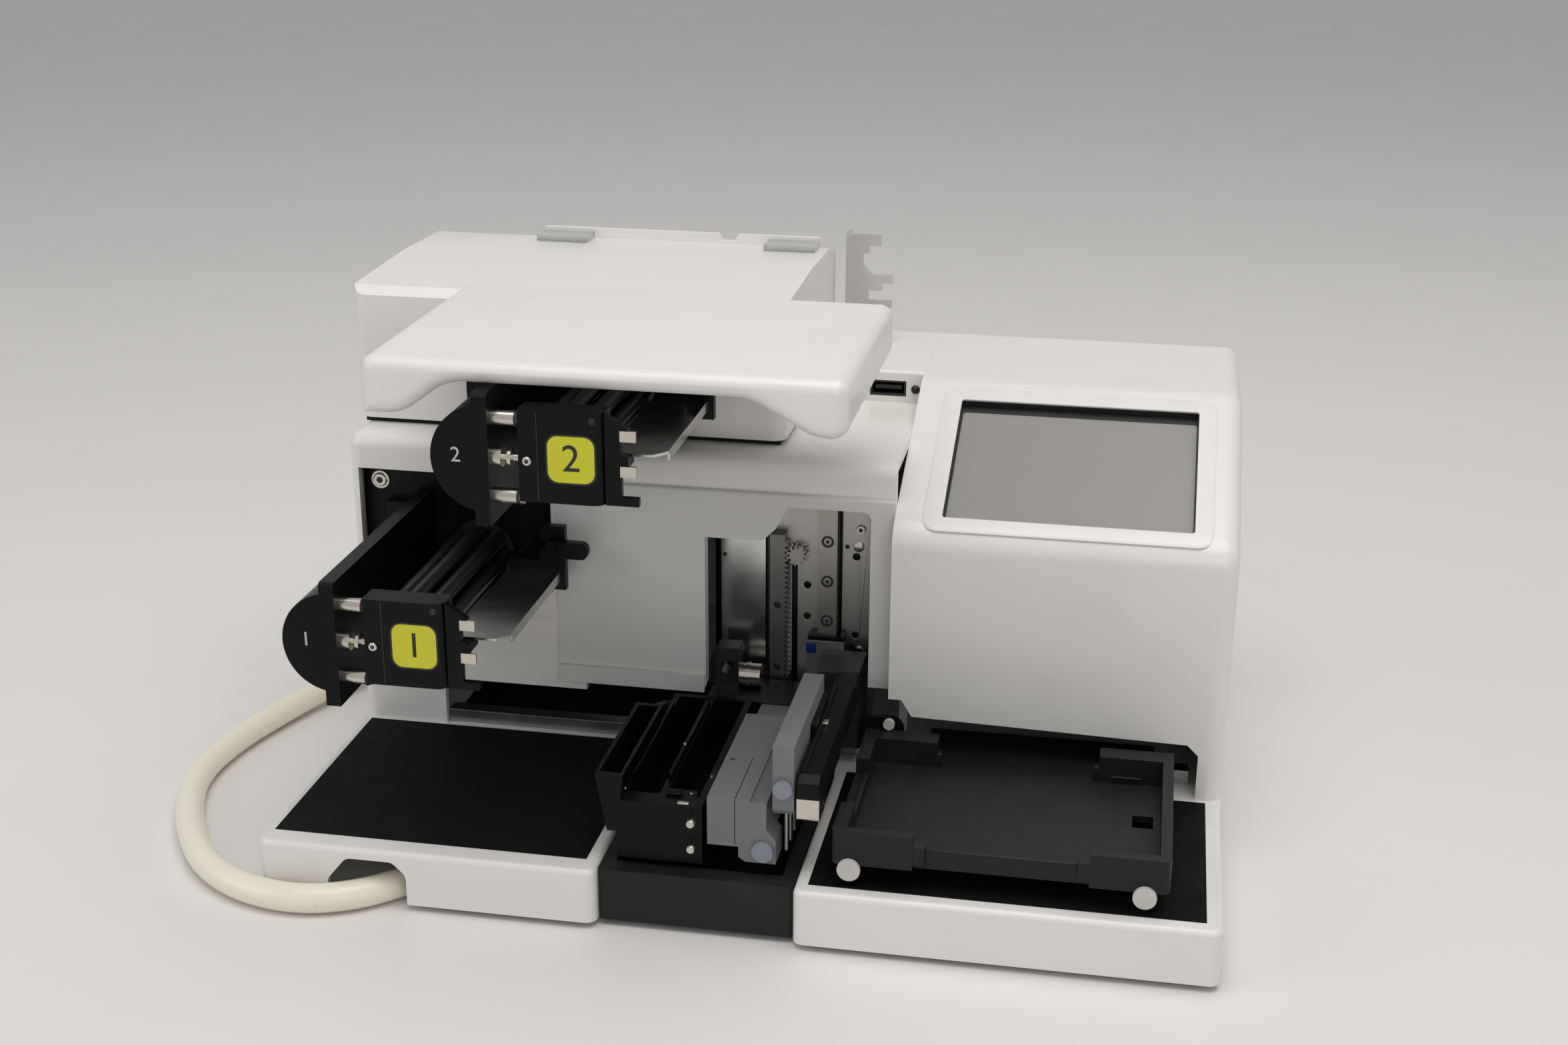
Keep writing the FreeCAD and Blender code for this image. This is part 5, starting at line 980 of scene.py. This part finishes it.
# %% Carrier steps
for name, x, depth, height in (
        ("carrier_step_front_left", (72.8, 84.0), (9.2, 13.8), (40.0, 49.0)),
        ("carrier_step_front_right", (146.5, 157.8), (9.2, 13.8), (40.0, 49.0)),
        ("carrier_step_back_left", (72.8, 81.0), (100.4, 105.0), (41.0, 47.5)),
        ("carrier_step_back_right", (149.5, 157.8), (100.4, 105.0), (41.0, 47.5)),
        ("carrier_lip_front", (83.0, 147.5), (11.9, 13.9), (45.6, 46.8)),
        ("carrier_lip_left", (48.4, 50.9), (36.5, 78.0), (45.6, 46.9)),
        ("carrier_spring_back", (157.0, 171.0), (98.6, 100.1), (43.6, 44.6))):
    slab(name, x, depth, height, "carrier", CHARCOAL, 0.5)
print("carrier steps placed")

# %% [markdown]
# At the back the sheet panel is held by small screws, and the mains inlet has its three blades.

# %% Back fittings
INLET_FLOOR, BLADE_TIP = 291.9, 303.5
for number, (x, height) in enumerate(((-200, 40), (-200, 165), (-60, 165), (-60, 40), (40, 40),
                                      (40, 180), (200, 40), (198, 176), (120, 180))):
    turned("panel_screw_%d" % number, cap_profile(2.6, 1.2), at(x, DEPTH, height), "back",
           "case", OXIDE)
for number, (x, height) in enumerate(((143.0, 72.0), (157.0, 72.0), (150.0, 68.0))):
    slab("inlet_blade_%d" % number, (x - 1.0, x + 1.0), (INLET_FLOOR, BLADE_TIP),
         (height - 2, height + 2), "case", NICKEL, 0.5)
print("back fittings placed")

# %% [markdown]
# The display lies under a sloping window. A black band lies on its glass, wider at the top,
# and a soft raised frame runs round the window in the shell itself. All three rings are the
# same form, a band between two rounded rectangles on the slope.

# %% Rings on the slope
SLOPE_FOOT, SLOPE_RUN, SLOPE_RISE = (115.0, 148.0), 0.92725, 0.37446


def slope_at(x, along, lift):
    """A place over the sloping face: across, up along the slope and out from it."""
    return at(x, SLOPE_FOOT[0] + SLOPE_RUN * along - SLOPE_RISE * lift,
              SLOPE_FOOT[1] + SLOPE_RISE * along + SLOPE_RUN * lift)


def slope_ring(name, outer, inner, low, high, finish, rounds, ease=0.0):
    """A flat ring on the slope between two rounded rectangles, with an eased outer edge."""
    mesh = bpy.data.meshes.new(name)
    shape = bmesh.new()
    loops = []
    for (x0, x1, a0, a1), radius, grow, lift in (
            (outer, rounds[0], ease, low),
            (outer, rounds[0], 0.35 * ease, low + 0.7 * (high - low)),
            (outer, rounds[0], -0.6 * ease, high),
            (inner, rounds[1], 0.0, high),
            (inner, rounds[1], 0.0, low)):
        wide, long = x1 - x0 + 2 * grow, a1 - a0 + 2 * grow
        middle = ((x0 + x1) / 2, (a0 + a1) / 2)
        loops.append([shape.verts.new(slope_at(middle[0] + u, middle[1] + v, lift))
                      for u, v in rounded_outline(wide, long, radius + grow)])
    for first, second in zip(loops, loops[1:] + loops[:1]):
        for k in range(len(first)):
            n = (k + 1) % len(first)
            shape.faces.new((first[k], first[n], second[n], second[k]))
    bmesh.ops.remove_doubles(shape, verts=shape.verts, dist=1e-6)
    bmesh.ops.recalc_face_normals(shape, faces=shape.faces)
    close_up(shape, mesh, 40)
    return piece(name, mesh, "case", finish)


print("slope", round(math.degrees(math.atan2(SLOPE_RISE, SLOPE_RUN)), 1), "degrees")

# %% [markdown]
# The frame stands a little proud of the shell. The border lies on the glass, wider at the top,
# and the lining darkens the walls of the window between the two.

# %% Display border and raised frame
WINDOW = (75.0, 186.5, 11.5, 97.1)
x0, x1, a0, a1 = WINDOW
slope_ring("display_frame", (x0 - 8.5, x1 + 8.0, a0 - 7.5, a1 + 8.5), WINDOW, -0.6, 0.28,
           SHELL, (7.0, 1.4), 1.2)
slope_ring("display_border", (x0 - 1, x1 + 1, a0 - 1, a1 + 1),
           (x0 + 1.1, x1 - 0.7, a0 + 0.2, a1 - 4.6), -3.98, -3.72, INK, (1.0, 1.6))
slope_ring("display_lining", (x0 + 0.02, x1 - 0.02, a0 + 0.02, a1 - 0.02),
           (x0 + 0.3, x1 - 0.3, a0 + 0.3, a1 - 0.3), -3.9, -0.5, INK, (0.9, 0.8))
print("display window", x1 - x0, "by", round(a1 - a0, 1), "mm")

# %% [markdown]
# The bench is a plain pale floor.

# %% Floor
floor_mesh = bpy.data.meshes.new("bench_top")
floor_mesh.from_pydata([(-9, -4, 0), (9, -4, 0), (9, 14, 0), (-9, 14, 0)], [], [(0, 1, 2, 3)])
floor = link(bpy.data.objects.new("bench_top", floor_mesh))
FLOOR = plastic("pale bench", (0.80, 0.785, 0.76), (0.79, 0.775, 0.75), (0.42, 0.5), 300.0, 0.02)
floor_mesh.materials.append(FLOOR)
print("floor", FLOOR.name)
